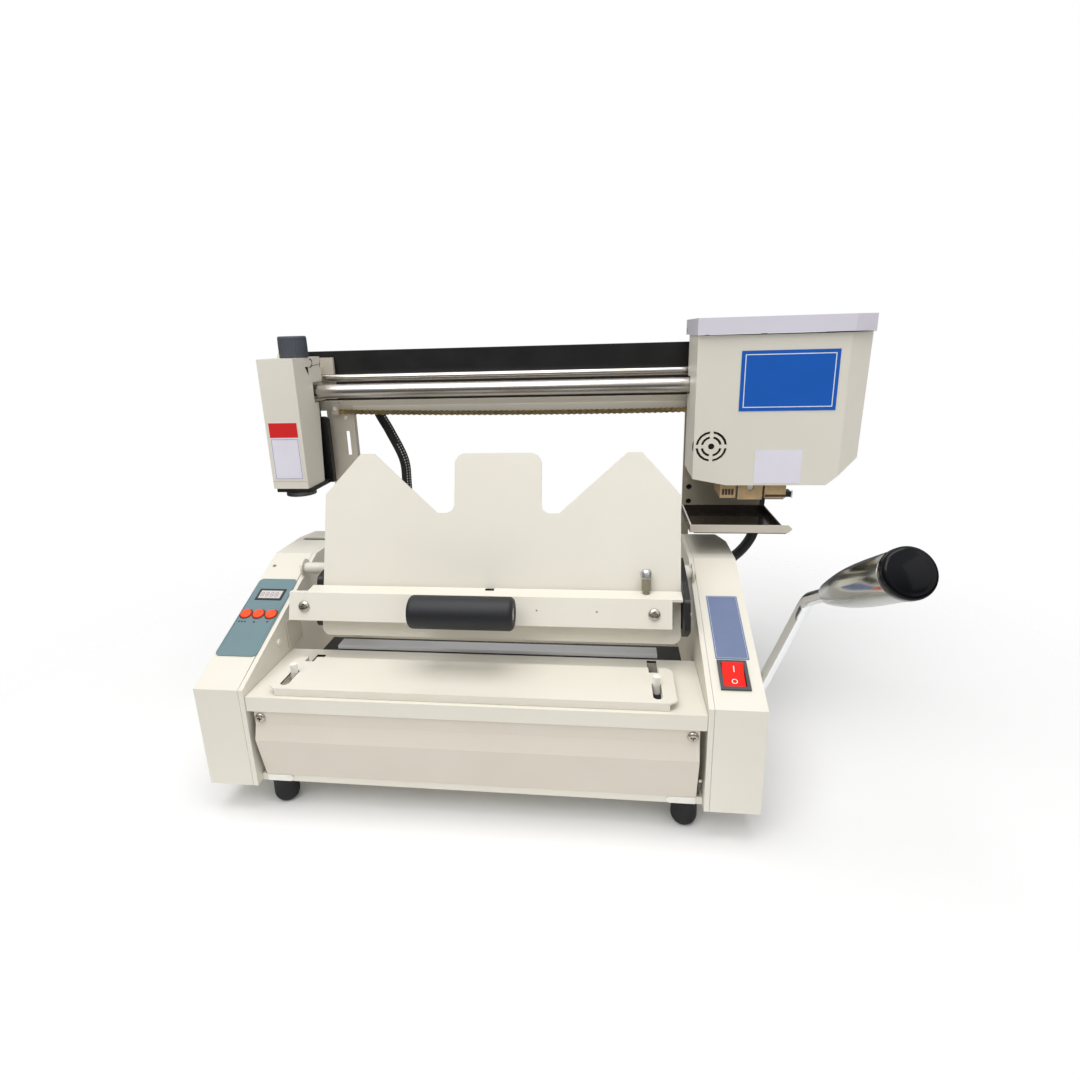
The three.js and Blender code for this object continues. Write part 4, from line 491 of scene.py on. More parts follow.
# Painted shadow: near-black for a sheet behind the rails, where the space under the cable channel is in shade
rail_shadow_black = powder("rail_shadow_black", srgb(34, 29, 25), 0.45, 0.3)
crease = drifting("crease", srgb(176, 170, 156), 0.6, 0.1, 60.0)
brown_strip = drifting("brown_strip", srgb(78, 54, 34), 0.5, 0.3, 120.0)


# CAD nodes that keep their shape: finish, flat faces merged, edges softened
MERGE_ANGLE = math.radians(1.5)


def dress(node, mat, bevel=0.5, angle=32, segments=2, merge=True):
    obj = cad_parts[node]
    for place in obj.material_slots:
        place.material = mat
    obj.data.polygons.foreach_set("use_smooth", [True] * len(obj.data.polygons))
    if merge:
        flat = obj.modifiers.new("merge_flat", "DECIMATE")
        flat.decimate_type = "DISSOLVE"
        flat.angle_limit = MERGE_ANGLE
    if bevel:
        add_bevel(obj, bevel, segments, angle)


def paint(node, mat, test):
    """A second finish on the faces whose middle, in the design's millimetres, passes the test."""
    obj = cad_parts[node]
    obj.data.materials.append(mat)
    to_design = WORLD.inverted() @ obj.matrix_world
    for face in obj.data.polygons:
        if test(to_design @ face.center):
            face.material_index = len(obj.data.materials) - 1


def surface(node):
    """A node's faces in the design's millimetres, to find places on them."""
    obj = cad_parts[node]
    to_design = WORLD.inverted() @ obj.matrix_world
    verts = [to_design @ v.co for v in obj.data.vertices]
    return BVHTree.FromPolygons(verts, [tuple(p.vertices) for p in obj.data.polygons])


IVORY_NODES = {
    "base_tray": 0.5, "left_side_plate": 0.7, "right_side_plate": 0.7,
    "left_housing_cover": 1.6, "right_housing_cover": 1.6,
    "deck_plate": 0.6, "rear_panel": 0.5, "nip_table": 0.6,
    "clamp_plate": 0.5, "glue_head_cover": 1.2, "cutter_cover": 1.2,
}
for node, width in IVORY_NODES.items():
    dress(node, ivory, width)
dress("clamp_bar", ivory, 0.5, merge=False)  # merged, its notched flange shades with a false line
for node in ("left_post", "cross_beam", "left_rail_bracket", "right_rail_bracket", "cutter_carriage"):
    dress(node, beige, 0.8)
# The right post is painted darker: painted shade under the glue head
dress("right_post", beige_painted_shade, 0.8)
dress("front_panel", panel_paint, 0.7)
dress("nip_strip", strip_metal, 0.4)
dress("glue_lid", lid_paint, 1.4)
for node in (
    "rear_jaw", "cable_channel", "clamp_arm_left", "clamp_arm_right", "glue_carriage", "cutter_base",
):
    dress(node, black_coat, 0.5)
dress("control_overlay", teal, 0.15)
dress("display_module", screen_frame, 0.4)
dress("switch_bezel", bezel_slate, 0.6)
dress("mains_inlet", black_plastic, 0.4)
dress("rocker", red, 0.6)
dress("lever_shaft", steel, 0.5)
dress("pivot_disc_right", nylon, 0.5)
dress("clamp_handle_core", steel, 0.4)
dress("glue_pot", aluminium, 0.8)
dress("applicator_blocks", amber, 0.7)
dress("glue_roller", steel, 0.4)
dress("glue_sprocket", steel, 0.2)
dress("cutter_disc", dark_steel, 0.3)

# Second finishes: the arms' outer faces, painted shade on the walls of slots, the guide pins and the inlet's
# pins
GUIDE_PINS = ((-171.5, 34.1), (164.0, 34.1))
DECK_SLOTS = (-167.5, 163.0)
INLET_PINS = ((229.5, 75.0), (224.0, 69.0), (235.0, 69.0))


def in_deck_slot(p):
    return p.z < 123.3 and 56.1 < p.y < 92.3 and min(abs(p.x - x) for x in DECK_SLOTS) < 4.7


def in_table_slot(p):
    return p.z < 130.9 and 11.0 < p.y < 39.2 and min(abs(p.x - x) for x, _ in GUIDE_PINS) < 4.3


def on_guide_pin(p):
    return p.z > 124.5 and min(math.hypot(p.x - x, p.y - y) for x, y in GUIDE_PINS) < 3.6


def on_inlet_pin(p):
    return 246 < p.y < 255.2 and any(abs(p.x - x) < 1.4 and abs(p.z - z) < 2.6 for x, z in INLET_PINS)


paint("clamp_arm_left", ivory, lambda p: p.x < -168.9)
paint("clamp_arm_right", ivory, lambda p: p.x > 195.9)
paint("deck_plate", black_painted_shade, in_deck_slot)
paint("nip_table", black_painted_shade, in_table_slot)
paint("deck_plate", nylon, on_guide_pin)
paint("mains_inlet", brass, on_inlet_pin)


# Rails
RAIL_LEFT, RAIL_RIGHT = -256.5, 372.5
for name, y, z, radius, node in (
    ("front_rail_bar", 243, 373.7, 7.95, "front_rail"),
    ("rear_rail_bar", 268, 387, 4.55, "rear_rail"),
):
    length = RAIL_RIGHT - RAIL_LEFT
    rim = radius - 0.8
    profile = [(0, 0), (rim, 0), (radius, 0.8), (radius, length - 0.8), (rim, length), (0, length)]
    turned(name, profile, rail_chrome, "base", "bright_chrome",
           at=spin_frame((RAIL_LEFT, y, z), (1, 0, 0)), n=64, replaces=(node,))


# Feet
def foot(name, x, y, node):
    profile = [(0, 1.2), (2.8, 1.2), (3.1, 0.0), (4.6, 0.0)]
    for k in range(1, 11):
        a = math.pi / 2 * k / 10
        profile.append((4.6 + 7.2 * math.sin(a), 9.5 * (1 - math.cos(a))))
    profile += [(11.6, 16.0), (11.3, 22.0), (11.9, 23.0), (11.95, 28.6), (11.5, 29.5), (0, 29.5)]
    at = WORLD @ Matrix.Translation((x, y, 0))
    turned(name, profile, rubber, "base", "foot_rubber", at=at, replaces=(node,))


for side, sx in (("left", -190.6), ("right", 190.6)):
    foot(f"foot_front_{side}_rubber", sx, 24, f"foot_front_{side}")
    foot(f"foot_rear_{side}_rubber", sx, 232, f"foot_rear_{side}")


# Lever: bent rod, tapered sleeve, cap
HUB = V(262.3, 112, 87.4)
LEVER = [HUB, HUB + V(9, 0, 0), V(306, 102.6, 186.6), V(308.4, 59.4, 210.0)]
CAP = V(315.4, -63.0, 276.3)
SLEEVE = (CAP - LEVER[3]).normalized()
SLEEVE_END = (CAP - LEVER[3]).length - 9.0


def bent(points, radius, step=1.6):
    """Straight runs joined by round bends."""
    out = [points[0]]
    for a, b, c in zip(points, points[1:], points[2:]):
        before, after = (a - b).normalized(), (c - b).normalized()
        half = before.angle(after) / 2
        cut = min(radius / math.tan(half), (a - b).length * 0.48, (c - b).length * 0.48)
        start, end = b + before * cut, b + after * cut
        for k in range(13):
            t = k / 12
            out.append((1 - t) ** 2 * start + 2 * t * (1 - t) * b + t * t * end)
    out.append(points[-1])
    dense = []
    for a, b in zip(out, out[1:]):
        n = max(1, round((b - a).length / step))
        dense += [a.lerp(b, k / n) for k in range(n)]
    return dense + [out[-1]]


tube("lever_rod_bar", bent(LEVER[:3] + [LEVER[3] - SLEEVE * 0.4], 16), 6.1, chrome, "lever",
     "bright_chrome", n=40, replaces=("lever_rod",))
profile = [
    (0, 0.1), (6.0, 0.1), (7.2, 0.4), (8.2, 1.2), (9.0, 2.6), (9.9, 6.0), (11.0, 12.5), (12.1, 20.0),
    (13.2, 28.5), (14.4, 38.0), (15.4, 48.0), (16.2, 59.0), (16.9, 74.0), (17.3, 90.0), (17.4, 108.0),
    (17.4, SLEEVE_END - 2.0), (17.2, SLEEVE_END - 0.6), (16.2, SLEEVE_END), (0, SLEEVE_END),
]
turned("lever_sleeve", profile, sleeve_chrome, "lever", "bright_chrome",
       at=spin_frame(LEVER[3], SLEEVE), n=72, replaces=("lever_grip",))
CAP_RADIUS, CAP_SIDE, CAP_FACE, CAP_ROUND, CAP_SWELL = 17.95, 6.8, 14.5, 3.4, 1.9
profile = [(0, 0.3), (16.9, 0.3), (17.6, 0.7), (CAP_RADIUS, 1.7), (CAP_RADIUS, CAP_SIDE)]
for k in range(1, 9):
    a = math.pi / 2 * k / 8
    profile.append((CAP_FACE + (CAP_RADIUS - CAP_FACE) * math.cos(a), CAP_SIDE + CAP_ROUND * math.sin(a)))
for k in range(1, 9):
    share = 1 - k / 8
    profile.append((CAP_FACE * share, CAP_SIDE + CAP_ROUND + CAP_SWELL * (1 - share ** 2)))
turned("lever_end_cap", [(r, SLEEVE_END + z) for r, z in profile], gloss_black, "lever", "black_plastic",
       at=spin_frame(LEVER[3], SLEEVE), n=72, sharp=50, replaces=("lever_cap",))
profile = [(0, 0), (10.5, 0), (11, 0.5), (11, 1.6), (10.6, 2.1), (7.2, 2.1), (7.0, 0.9), (0, 0.9)]
turned("lever_hub_washer", profile, steel, "lever", "bright_steel",
       at=spin_frame(HUB - V(0.4, 0, 0), (1, 0, 0)))


# Clamp bar handle: foam sleeve with rounded ends
GRIP_CENTRE, GRIP_HALF, GRIP_ROUND = (-11.0, -90, -34.5), 48.5, 4.4
profile = [(6.3, -GRIP_HALF + 2.0), (6.6, -GRIP_HALF + 0.6), (8.5, -GRIP_HALF)]
for k in range(7):
    a = math.pi / 2 * k / 6
    profile.append((11.0 + GRIP_ROUND * math.sin(a), -GRIP_HALF + GRIP_ROUND * (1 - math.cos(a))))
profile += [(15.45, -GRIP_HALF / 3), (15.5, 0)]
profile += [(r, -z) for r, z in reversed(profile[:-1])]
profile.append(profile[0])
turned("handle_sleeve", profile, foam, "clamp_jaw", "grip_foam",
       at=spin_frame(GRIP_CENTRE, (1, 0, 0), CLAMP), n=64, replaces=("clamp_handle_grip",))


# Screws
def pan_screw(name, origin, direction, radius, body, at=WORLD, height=None, mat=None):
    """A pan head with a cross recess, made of a domed ring of quads round a sunk cross."""
    height = height or radius * 0.55
    n = 32
    verts, faces = [], []
    for r, z in ((0.97, 0.0), (1.0, 0.18), (0.97, 0.42), (0.86, 0.7), (0.68, 0.88), (0.5, 0.96)):
        verts += circle(radius * r, n, (height * z,))
    base = len(verts) - n
    for start in range(0, base, n):
        faces += band(start, start + n, n)
    arm, width, top, deep = radius * 0.56, radius * 0.15, height * 0.98, height * 0.75
    quarter = [(arm, -width), (arm, width), (width, width)]
    star = []
    for _ in range(4):
        star += quarter
        quarter = [(-b, a) for a, b in quarter]
    tips = len(star)
    rim = len(verts)
    verts += [(a, b, top) for a, b in star]
    floor = len(verts)
    verts += [(a * 0.9, b * 0.9, top - deep) for a, b in star]
    angles = [math.atan2(b, a) % (2 * math.pi) for a, b in star]
    order = sorted(range(tips), key=lambda i: angles[i])

    def nearest(a):
        """The corner of the cross nearest to an angle, as its place in the order."""
        gaps = [abs(angles[i] - a) for i in order]
        return min(range(tips), key=lambda i: min(gaps[i], 2 * math.pi - gaps[i]))

    owner = [nearest(2 * math.pi * k / n) for k in range(n)]
    for k in range(n):
        m = (k + 1) % n
        i, j = owner[k], owner[m]
        faces.append((base + k, base + m, rim + order[i]))
        while i != j:
            nxt = (i + 1) % tips
            faces.append((base + m, rim + order[nxt], rim + order[i]))
            i = nxt
    faces += band(rim, floor, tips) + [disc(floor, tips), disc(0, n)]
    return piece(name, verts, faces, mat or screw_steel, body, at=spin_frame(origin, direction, at), sharp=40)


for i, (x, q) in enumerate(((-173, -34.5), (163.3, -34.8))):
    pan_screw(f"bar_screw_{i}", (x, -66, q), (0, -1, 0), 5.6, "clamp_jaw", CLAMP)
for i, x in enumerate((-193, 193)):
    pan_screw(f"panel_screw_{i}", (x, 3.25, 101.8), (0, -1, 0), 4.8, "base")
for i, x in enumerate((55, 111)):
    pan_screw(f"bar_rivet_{i}", (x, -65.95, -33.5), (0, -1, 0), 0.9, "clamp_jaw", CLAMP, 0.3, olive)
for i, x in enumerate((-244.7, -213.6)):
    pan_screw(f"slope_screw_{i}", (x, 164.7, 0.02), (0, 0, 1), 2.0, "base", SLOPE, 0.8, olive)
pan_screw("wall_screw", (-204.45, 70, 143), (1, 0, 0), 3.2, "base", mat=nylon)
for i, x in enumerate((-191, -64, 64, 191)):
    for j, z in enumerate((36, 102)):
        pan_screw(f"rear_screw_{i}_{j}", (x, 256.02, z), (0, 1, 0), 3.2, "base")


# Drive chain: rollers, inner and outer plates, on a line that sags between its ends
CHAIN_LEFT, CHAIN_LONG, CHAIN_Y, CHAIN_Z, CHAIN_SAG = -196, 562, 257.4, 348.6, 4.0
CHAIN_PINS = 88
PLATE_END, PLATE_WAIST = 2.75, 1.9
PLATE_INNER, PLATE_OUTER, PLATE_THICK = 1.2, 1.85, 0.5


def chain_line(t):
    return V(CHAIN_LEFT + CHAIN_LONG * t, CHAIN_Y, CHAIN_Z - CHAIN_SAG * 4 * t * (1 - t))


def drive_chain():
    verts, faces = [], []
    pins = [chain_line((i + 0.2) / (CHAIN_PINS - 0.6)) for i in range(CHAIN_PINS)]

    def across(outline, y0, y1):
        """An outline of (x, z) points run from y0 to y1 beside the chain's middle."""
        start = len(verts)
        for y in (y0, y1):
            verts.extend((x, CHAIN_Y + y, z) for x, z in outline)
        faces.extend(prism(start, len(outline)))

    def ring(centre, radius, half, n):
        across([(centre.x + a, centre.z + b) for a, b in circle(radius, n)], -half, half)

    def link_plate(a, b, y0, y1):
        d = (b - a).normalized()
        rise = V(-d.z, 0, d.x)
        outline = []
        for centre, reach in ((a, -PLATE_END), (b, PLATE_END)):
            for k in range(-3, 4):
                angle = math.pi / 2 * k / 3
                outline.append(centre + reach * (d * math.cos(angle)) + reach * rise * math.sin(angle))
            outline.append((a + b) / 2 + rise * math.copysign(PLATE_WAIST, reach))
        across([(p.x, p.z) for p in outline], y0, y1)

    for p in pins:
        ring(p, 1.95, 1.15, 12)
        ring(p, 0.95, 2.55, 8)
    for i, (a, b) in enumerate(zip(pins, pins[1:])):
        near = PLATE_INNER if i % 2 else PLATE_OUTER
        for side in (-1, 1):
            link_plate(a, b, *sorted((side * near, side * (near + PLATE_THICK))))
    piece("roller_chain", verts, faces, brass, "base", "chain_brass", replaces=("drive_chain",), sharp=50)


drive_chain()


# Knob with a fine grip
def knob():
    """A ribbed knob, from rows of (share of the radius, height, whether ribbed)."""
    n, (x, y, z0) = 96, (-227.0, 224.0, 412.9)
    radius, groove = 16.55, 0.22
    rows = [
        (0.915, 0.0, 0), (0.93, 0.6, 1), (0.93, 17.6, 1), (0.918, 18.0, 0), (0.918, 18.7, 0),
        (0.928, 19.1, 1), (0.92, 21.0, 1), (0.9, 22.1, 0), (0.86, 22.8, 0), (0.79, 22.95, 0), (0.77, 22.4, 0),
    ]
    verts, faces = [], []
    for share, z, ribbed in rows:
        for k in range(n):
            r = radius * share - (groove if ribbed and k % 4 in (2, 3) else 0.0)
            a = 2 * math.pi * k / n
            verts.append((x + r * math.cos(a), y + r * math.sin(a), z0 + z))
    for i in range(len(rows) - 1):
        faces += band(i * n, (i + 1) * n, n)
    faces += [disc(0, n), disc((len(rows) - 1) * n, n)]
    piece("height_knob", verts, faces, slate, "knob", "knob_slate", replaces=("cutter_knob",), sharp=40)


knob()

# Push buttons, slightly dished
KEYS = (("left", -243.4), ("middle", -230.0), ("right", -216.6))
KEY_ROW = 91.9
profile = [
    (0, -7), (5.75, -7), (5.75, 1.7), (5.5, 2.4), (5.0, 2.8), (4.4, 2.88), (3.6, 2.72), (2.0, 2.5), (0, 2.42),
]
for name, x in KEYS:
    turned(f"button_{name}_cap", profile, orange, f"key_{name}", "button_orange",
           at=SLOPE @ Matrix.Translation((x, KEY_ROW, 0)), n=48, sharp=50, replaces=(f"button_{name}",))

# Display window and its segments
block("display_window", -241.6, -217.2, 113.9, 125.9, 0.72, 1.05, lcd, "base", at=SLOPE, bevel=0.15)


def digit(name, x, s):
    """All seven bars of a digit, each kept apart from its neighbours by a gap."""
    w, h, half, gap, bottom, top = 2.6, 5.6, 0.275, 0.35, 0.98, 1.13
    verts, faces = [], []
    for x0, s0, x1, s1 in (
        (0, h, w, h), (0, h / 2, w, h / 2), (0, 0, w, 0),
        (0, h / 2, 0, h), (w, h / 2, w, h), (0, 0, 0, h / 2), (w, 0, w, h / 2),
    ):
        trim_x, trim_s = (gap, -half) if s0 == s1 else (-half, gap)
        bar = (x + x0 + trim_x, x + x1 - trim_x, s + s0 + trim_s, s + s1 - trim_s)
        faces += prism(len(verts), 4)
        verts += corners(*bar, (bottom,)) + corners(*bar, (top,))
    piece(name, verts, faces, segment, "base", at=SLOPE, sharp=30)


DIGIT_FOOT = 117.1
for i, x in enumerate((-239.6, -234.4, -229.2, -224.0)):
    digit(f"display_digit_{i}", x, DIGIT_FOOT)


# Printed marks under the keys, and a ring round each key
OVERLAY_TOP = 0.9


def key_mark(name, outline):
    slab(name, outline, "Z", OVERLAY_TOP + 0.02, OVERLAY_TOP + 0.1, teal_mark, "base", at=SLOPE, bevel=None)


key_mark("mark_middle", [(-232.0, 80.4), (-228.8, 80.4), (-230.4, 83.0)])
key_mark("mark_right", [(-218.2, 83.0), (-216.6, 80.4), (-215.0, 83.0)])
for i, x in enumerate((-246.6, -243.4, -240.2)):
    key_mark(f"mark_left_{i}", corners(x - 1.0, x + 1.0, 80.8, 82.6))
profile = [(6.05, 0.3), (6.65, 0.3), (6.65, 1.2), (6.35, 1.45), (6.05, 1.3), (6.05, 0.3)]
for name, x in KEYS:
    at = SLOPE @ Matrix.Translation((x, KEY_ROW, 0))
    turned(f"key_ring_{name}", profile, brown_strip, "base", at=at, n=40)


# Bare plates where the photograph has labels
def plate_label(name, x0, x1, a0, a1, thick, mat, body, at, lift, round_=1.0):
    points = rounded([(x0, a0, round_), (x1, a0, round_), (x1, a1, round_), (x0, a1, round_)], 4)
    return slab(name, points, "Z", lift, lift + thick, mat, body, at=at, bevel=0.06, segments=1)


def label_ring(name, x0, x1, a0, a1, width, mat, body, at, lift):
    """A border line: an outer and an inner rectangle below, and the same two above."""
    verts = []
    for z in (lift, lift + 0.12):
        verts += corners(x0, x1, a0, a1, (z,))
        verts += corners(x0 + width, x1 - width, a0 + width, a1 - width, (z,))
    faces = band(8, 12, 4) + band(0, 4, 4) + band(0, 8, 4) + band(4, 12, 4)
    return piece(name, verts, faces, mat, body, at=at, sharp=30)


# Heights of the two covers' front faces in the frame FRONT
GLUE_FACE, CUTTER_FACE = -180.95, -190.95
plate_label("head_plate", 247.8, 338.8, 351.8, 409.5, 0.5, blue, "glue_head", FRONT, GLUE_FACE, 0.6)
label_ring("head_plate_border", 251.4, 335.4, 355.2, 406.2, 0.8, white_print, "glue_head", FRONT,
           GLUE_FACE + 0.5)
plate_label("head_sticker", 266.6, 312.0, 279.0, 313.0, 0.25, sticker, "glue_head", FRONT, GLUE_FACE, 0.6)
plate_label("cutter_sticker", -250.4, -217.3, 281.5, 345.0, 0.25, sticker, "cutter_head", FRONT,
            CUTTER_FACE, 0.5)
block("cutter_sticker_band", -250.2, -217.5, 328.6, 344.8, CUTTER_FACE + 0.23, CUTTER_FACE + 0.35, red_band,
      "cutter_head", at=FRONT, bevel=0.03)
label_ring("cutter_sticker_border", -249.4, -218.3, 282.5, 326.8, 0.35, bare_print, "cutter_head", FRONT,
           CUTTER_FACE + 0.23)
plate_label("slope_plate", 216.0, 245.0, 53.0, 130.8, 0.5, violet, "base", SLOPE, 0.05, 0.8)
label_ring("slope_plate_border", 217.0, 244.0, 54.1, 129.7, 0.35, violet_edge, "base", SLOPE, 0.55)

# Marks on the rocker, laid on its faces
rocker_faces = surface("rocker")
DESIGN_SLOPE = WORLD.inverted() @ SLOPE


def rocker_mark(name, x, s, outline, holes=()):
    start = DESIGN_SLOPE @ Vector((x, s, 40.0))
    place, normal, _, _ = rocker_faces.ray_cast(start, DESIGN_SLOPE.to_3x3() @ Vector((0, 0, -1)))
    at = spin_frame(place, normal)
    slab(name, outline, "Z", 0.02, 0.1, white_print, "power_rocker", at=at, bevel=None, holes=holes)


rocker_mark("rocker_on_mark", 229.7, 41.2, corners(-0.38, 0.38, -2.7, 2.7))
rocker_mark("rocker_off_mark", 229.1, 29.6, circle(2.5, 28), [circle(1.8, 28)])


# Stop pin: turned head on a plain stem
PIN = CLAMP @ Matrix.Translation((156.5, -55.0, 0))
profile = [(0, -21.0), (2.9, -21.0), (2.9, -14.3), (4.1, -14.2), (4.3, -13.8), (4.3, -3.5), (0, -3.5)]
turned("stop_pin_stem", profile, olive, "clamp_jaw", at=PIN, n=40, replaces=("stop_pin",))
profile = [
    (0, -3.4), (4.7, -3.3), (5.2, -2.8), (5.3, -2.0), (5.3, 2.2), (5.05, 4.0), (4.3, 5.3), (3.1, 6.0),
    (1.5, 6.2), (0, 6.2),
]
turned("stop_pin_head", profile, steel, "clamp_jaw", "bright_steel", at=PIN, n=48, sharp=50)
# A dark block of painted shade in the clamp bar's notch
block("bar_notch_shade", 4.2, 11.8, -55.2, -50.7, -20.9, -15.0, black_painted_shade, "clamp_jaw", at=CLAMP, bevel=0.2)


# Drip tray: glossy dark pan, pale front flange and left rim
def pan(name, x0, x1, y0, y1, z0, z1, wall, mat, body, slot, replaces):
    inner = (x0 + wall, x1 - wall, y0 + wall, y1 - wall)
    verts = corners(x0, x1, y0, y1, (z0,)) + corners(x0, x1, y0, y1, (z1,))
    verts += corners(*inner, (z1,)) + corners(*inner, (z0 + wall,))
    faces = [disc(0, 4), disc(12, 4)] + band(0, 4, 4) + band(4, 8, 4) + band(8, 12, 4)
    return piece(name, verts, faces, mat, body, slot, bevel=0.3, segments=2, replaces=replaces)


TRAY_LEFT = 205.5
pan("drip_tray_pan", TRAY_LEFT, 298.0, 181.0, 262.2, 226.5, 234.9, 1.6, tray_gloss, "base", "tray_dark",
    ("drip_tray",))
outline = [(205.6, 226.6), (304.5, 226.6), (308.4, 230.4), (308.4, 231.2), (304.5, 235.0), (205.6, 235.0)]
slab("drip_tray_flange", outline, "Y", 180.05, 180.95, beige, "base", bevel=0.3)
block("drip_tray_rim", TRAY_LEFT, TRAY_LEFT + 1.5, 181.1, 262.0, 234.92, 235.1, ivory, "base", bevel=None)
# A painted shadow line under the tray's front
block("drip_tray_shadow_line", 210, 303, 181.3, 183.0, 225.5, 226.45, black_painted_shade, "base", bevel=None)

# Applicator details
for i in range(4):
    x = 237.4 + 3.1 * i
    block(f"applicator_slot_{i}", x, x + 2.3, 187.5, 187.95, 265.4, 271.4, brown_strip, "glue_head",
          bevel=0.1)
block("applicator_strip", 280.3, 300.8, 187.6, 187.95, 263.2, 265.6, brown_strip, "glue_head", bevel=0.1)
# The shoe is in the darker beige of painted shade under the glue head
block("applicator_shoe", 281.5, 300.0, 190.0, 226.0, 259.9, 261.95, beige_painted_shade, "glue_head")
block("applicator_bracket", 301.1, 307.0, 190.0, 202.0, 262.4, 268.2, black_plastic, "glue_head")
block("applicator_tab", 307.1, 308.4, 189.4, 192.0, 261.6, 269.0, nylon, "glue_head", bevel=0.2)


# Painted shade: dark discs behind the vent and the post's holes, and a painted shadow line under the lid
def dark_back(name, radius, thick, place, body, n):
    turned(name, [(0, 0), (radius, 0), (radius, thick), (0, thick)], black_painted_shade, body,
           at=spin_frame(place, (0, 1, 0)), n=n)


dark_back("vent_shade_disc", 18.4, 0.2, (223.3, 183.03, 316.9), "glue_head", 40)
for i, z in enumerate((239.0, 256.0)):
    dark_back(f"post_hole_shade_disc_{i}", 4.2, 0.4, (213.0, 265.05, z), "base", 24)
outline = [(208, 424.7), (258, 424.2), (330, 424.1), (368.5, 424.6), (368.5, 424.95), (208, 424.95)]
slab("lid_shadow_line", outline, "Y", 180.6, 180.95, black_painted_shade, "glue_head", bevel=None)


# Cut-outs, drawn as dark slabs of painted shade, and seams on the cutter cover's right side
def stroke(points, width):
    """The outline of a line of even width."""
    pts = [Vector(p) for p in points]
    one_side, other_side = [], []
    for i, p in enumerate(pts):
        along = (pts[min(i + 1, len(pts) - 1)] - pts[max(i - 1, 0)]).normalized()
        across = Vector((-along.y, along.x)) * width / 2
        one_side.append(p + across)
        other_side.append(p - across)
    return one_side + other_side[::-1]


HOOK = [(230.9, 410.4), (234.2, 410.2), (236.3, 408.4), (236.3, 405.6), (234.2, 403.0), (229.2, 401.5)]
for name, outline, mat in (
    ("cover_hook", stroke(HOOK, 1.3), black_painted_shade),
    ("cover_notch", [(217.8, 402.8), (225.2, 402.4), (224.5, 393.2)], black_painted_shade),
    ("cover_seam", stroke([(227.5, 401.4), (236.7, 403.3), (255.9, 404.3)], 0.55), brown_strip),
    ("cover_tick", stroke([(256.2, 407.0), (255.5, 400.4)], 0.9), brown_strip),
):
    slab(name, outline, "X", -212.98, -212.88, mat, "cutter_head", bevel=None)
block("cover_crease", -253.6, -213.4, 190.9, 190.98, 279.0, 279.35, crease, "cutter_head", bevel=None)

# Painted shadow: a dark sheet behind the rails, where the space under the cable channel is in shade. Painted
# light: a pale strip on the cross beam's lower edge, where that edge is lit
block("rail_shadow_sheet", -256, 372, 279.0, 279.95, 357.5, 390.0, rail_shadow_black, "base", bevel=None)
block("beam_painted_light_strip", -180.9, 205, 262.0, 262.45, 345.0, 354.6, ivory, "base", bevel=0.2)

# Small fittings: bolt on the right arm, bracket on the left wall, pale tabs under the front panel, rivet,
# post bolts, and dark strips of painted shade under the nip table's slots
profile = [(0, 0), (6.4, 0), (6.4, 1.0), (5.9, 1.3), (4.9, 1.4), (4.8, 3.2), (4.2, 3.8), (0, 3.9)]
turned("arm_bolt", profile, steel, "clamp", at=spin_frame((195.95, 97.6, 168.8), (1, 0, 0)), n=36, sharp=40)
block("wall_bracket", -204.45, -203.0, 87, 116, 127, 157, beige, "base", bevel=0.5)
for name, sx in (("left", -1), ("right", 1)):
    outline = [(sx * 198, 30.9), (sx * 175.5, 30.9), (sx * 172.6, 34.4), (sx * 175, 37.2), (sx * 198, 37.2)]
    slab(f"foot_tab_{name}", outline, "Y", 7.2, 8.9, nylon, "base", bevel=0.3)
RIVET = [(0, 0), (1.6, 0), (1.5, 0.6), (0.8, 1.0), (0, 1.1)]
DOME = [(0, 0), (2.5, 0), (2.4, 0.7), (1.8, 1.4), (1.0, 1.75), (0, 1.85)]
for name, profile, place, n in (
    ("gap_rivet", RIVET, (201.6, 8.95, 54.0), 24),
    ("post_bolt", DOME, (-191.2, 262.45, 340.2), 28),
    ("chain_anchor_bolt", DOME, (-200.3, 254.75, 352.6), 28),
):
    turned(name, profile, nylon, "base", at=spin_frame(place, (0, -1, 0)), n=n)
for i, (x, _) in enumerate(GUIDE_PINS):
    block(f"slot_shade_strip_{i}", x - 3.7, x + 3.7, 9.5, 42.0, 123.42, 123.7, black_painted_shade, "base", bevel=None)


# Cables
LEFT_ROUTE = [
    (-166, 290, 383.6), (-166, 290, 366), (-160, 289.5, 345), (-147, 288.5, 320), (-132, 288, 284),
    (-131, 288, 255), (-133, 290, 205), (-133, 291, 150), (-133, 288, 116), (-133, 279, 98),
    (-133, 267, 95), (-133, 261.4, 95),
]
RIGHT_ROUTE = [
    (301, 290, 383.6), (301, 291, 340), (300, 290, 260), (297, 288, 212), (291, 284, 190),
    (279, 279, 174), (262, 275, 161), (247, 274.5, 153), (238, 271, 150.4), (235.6, 266, 150),
    (235.6, 261.4, 150),
]


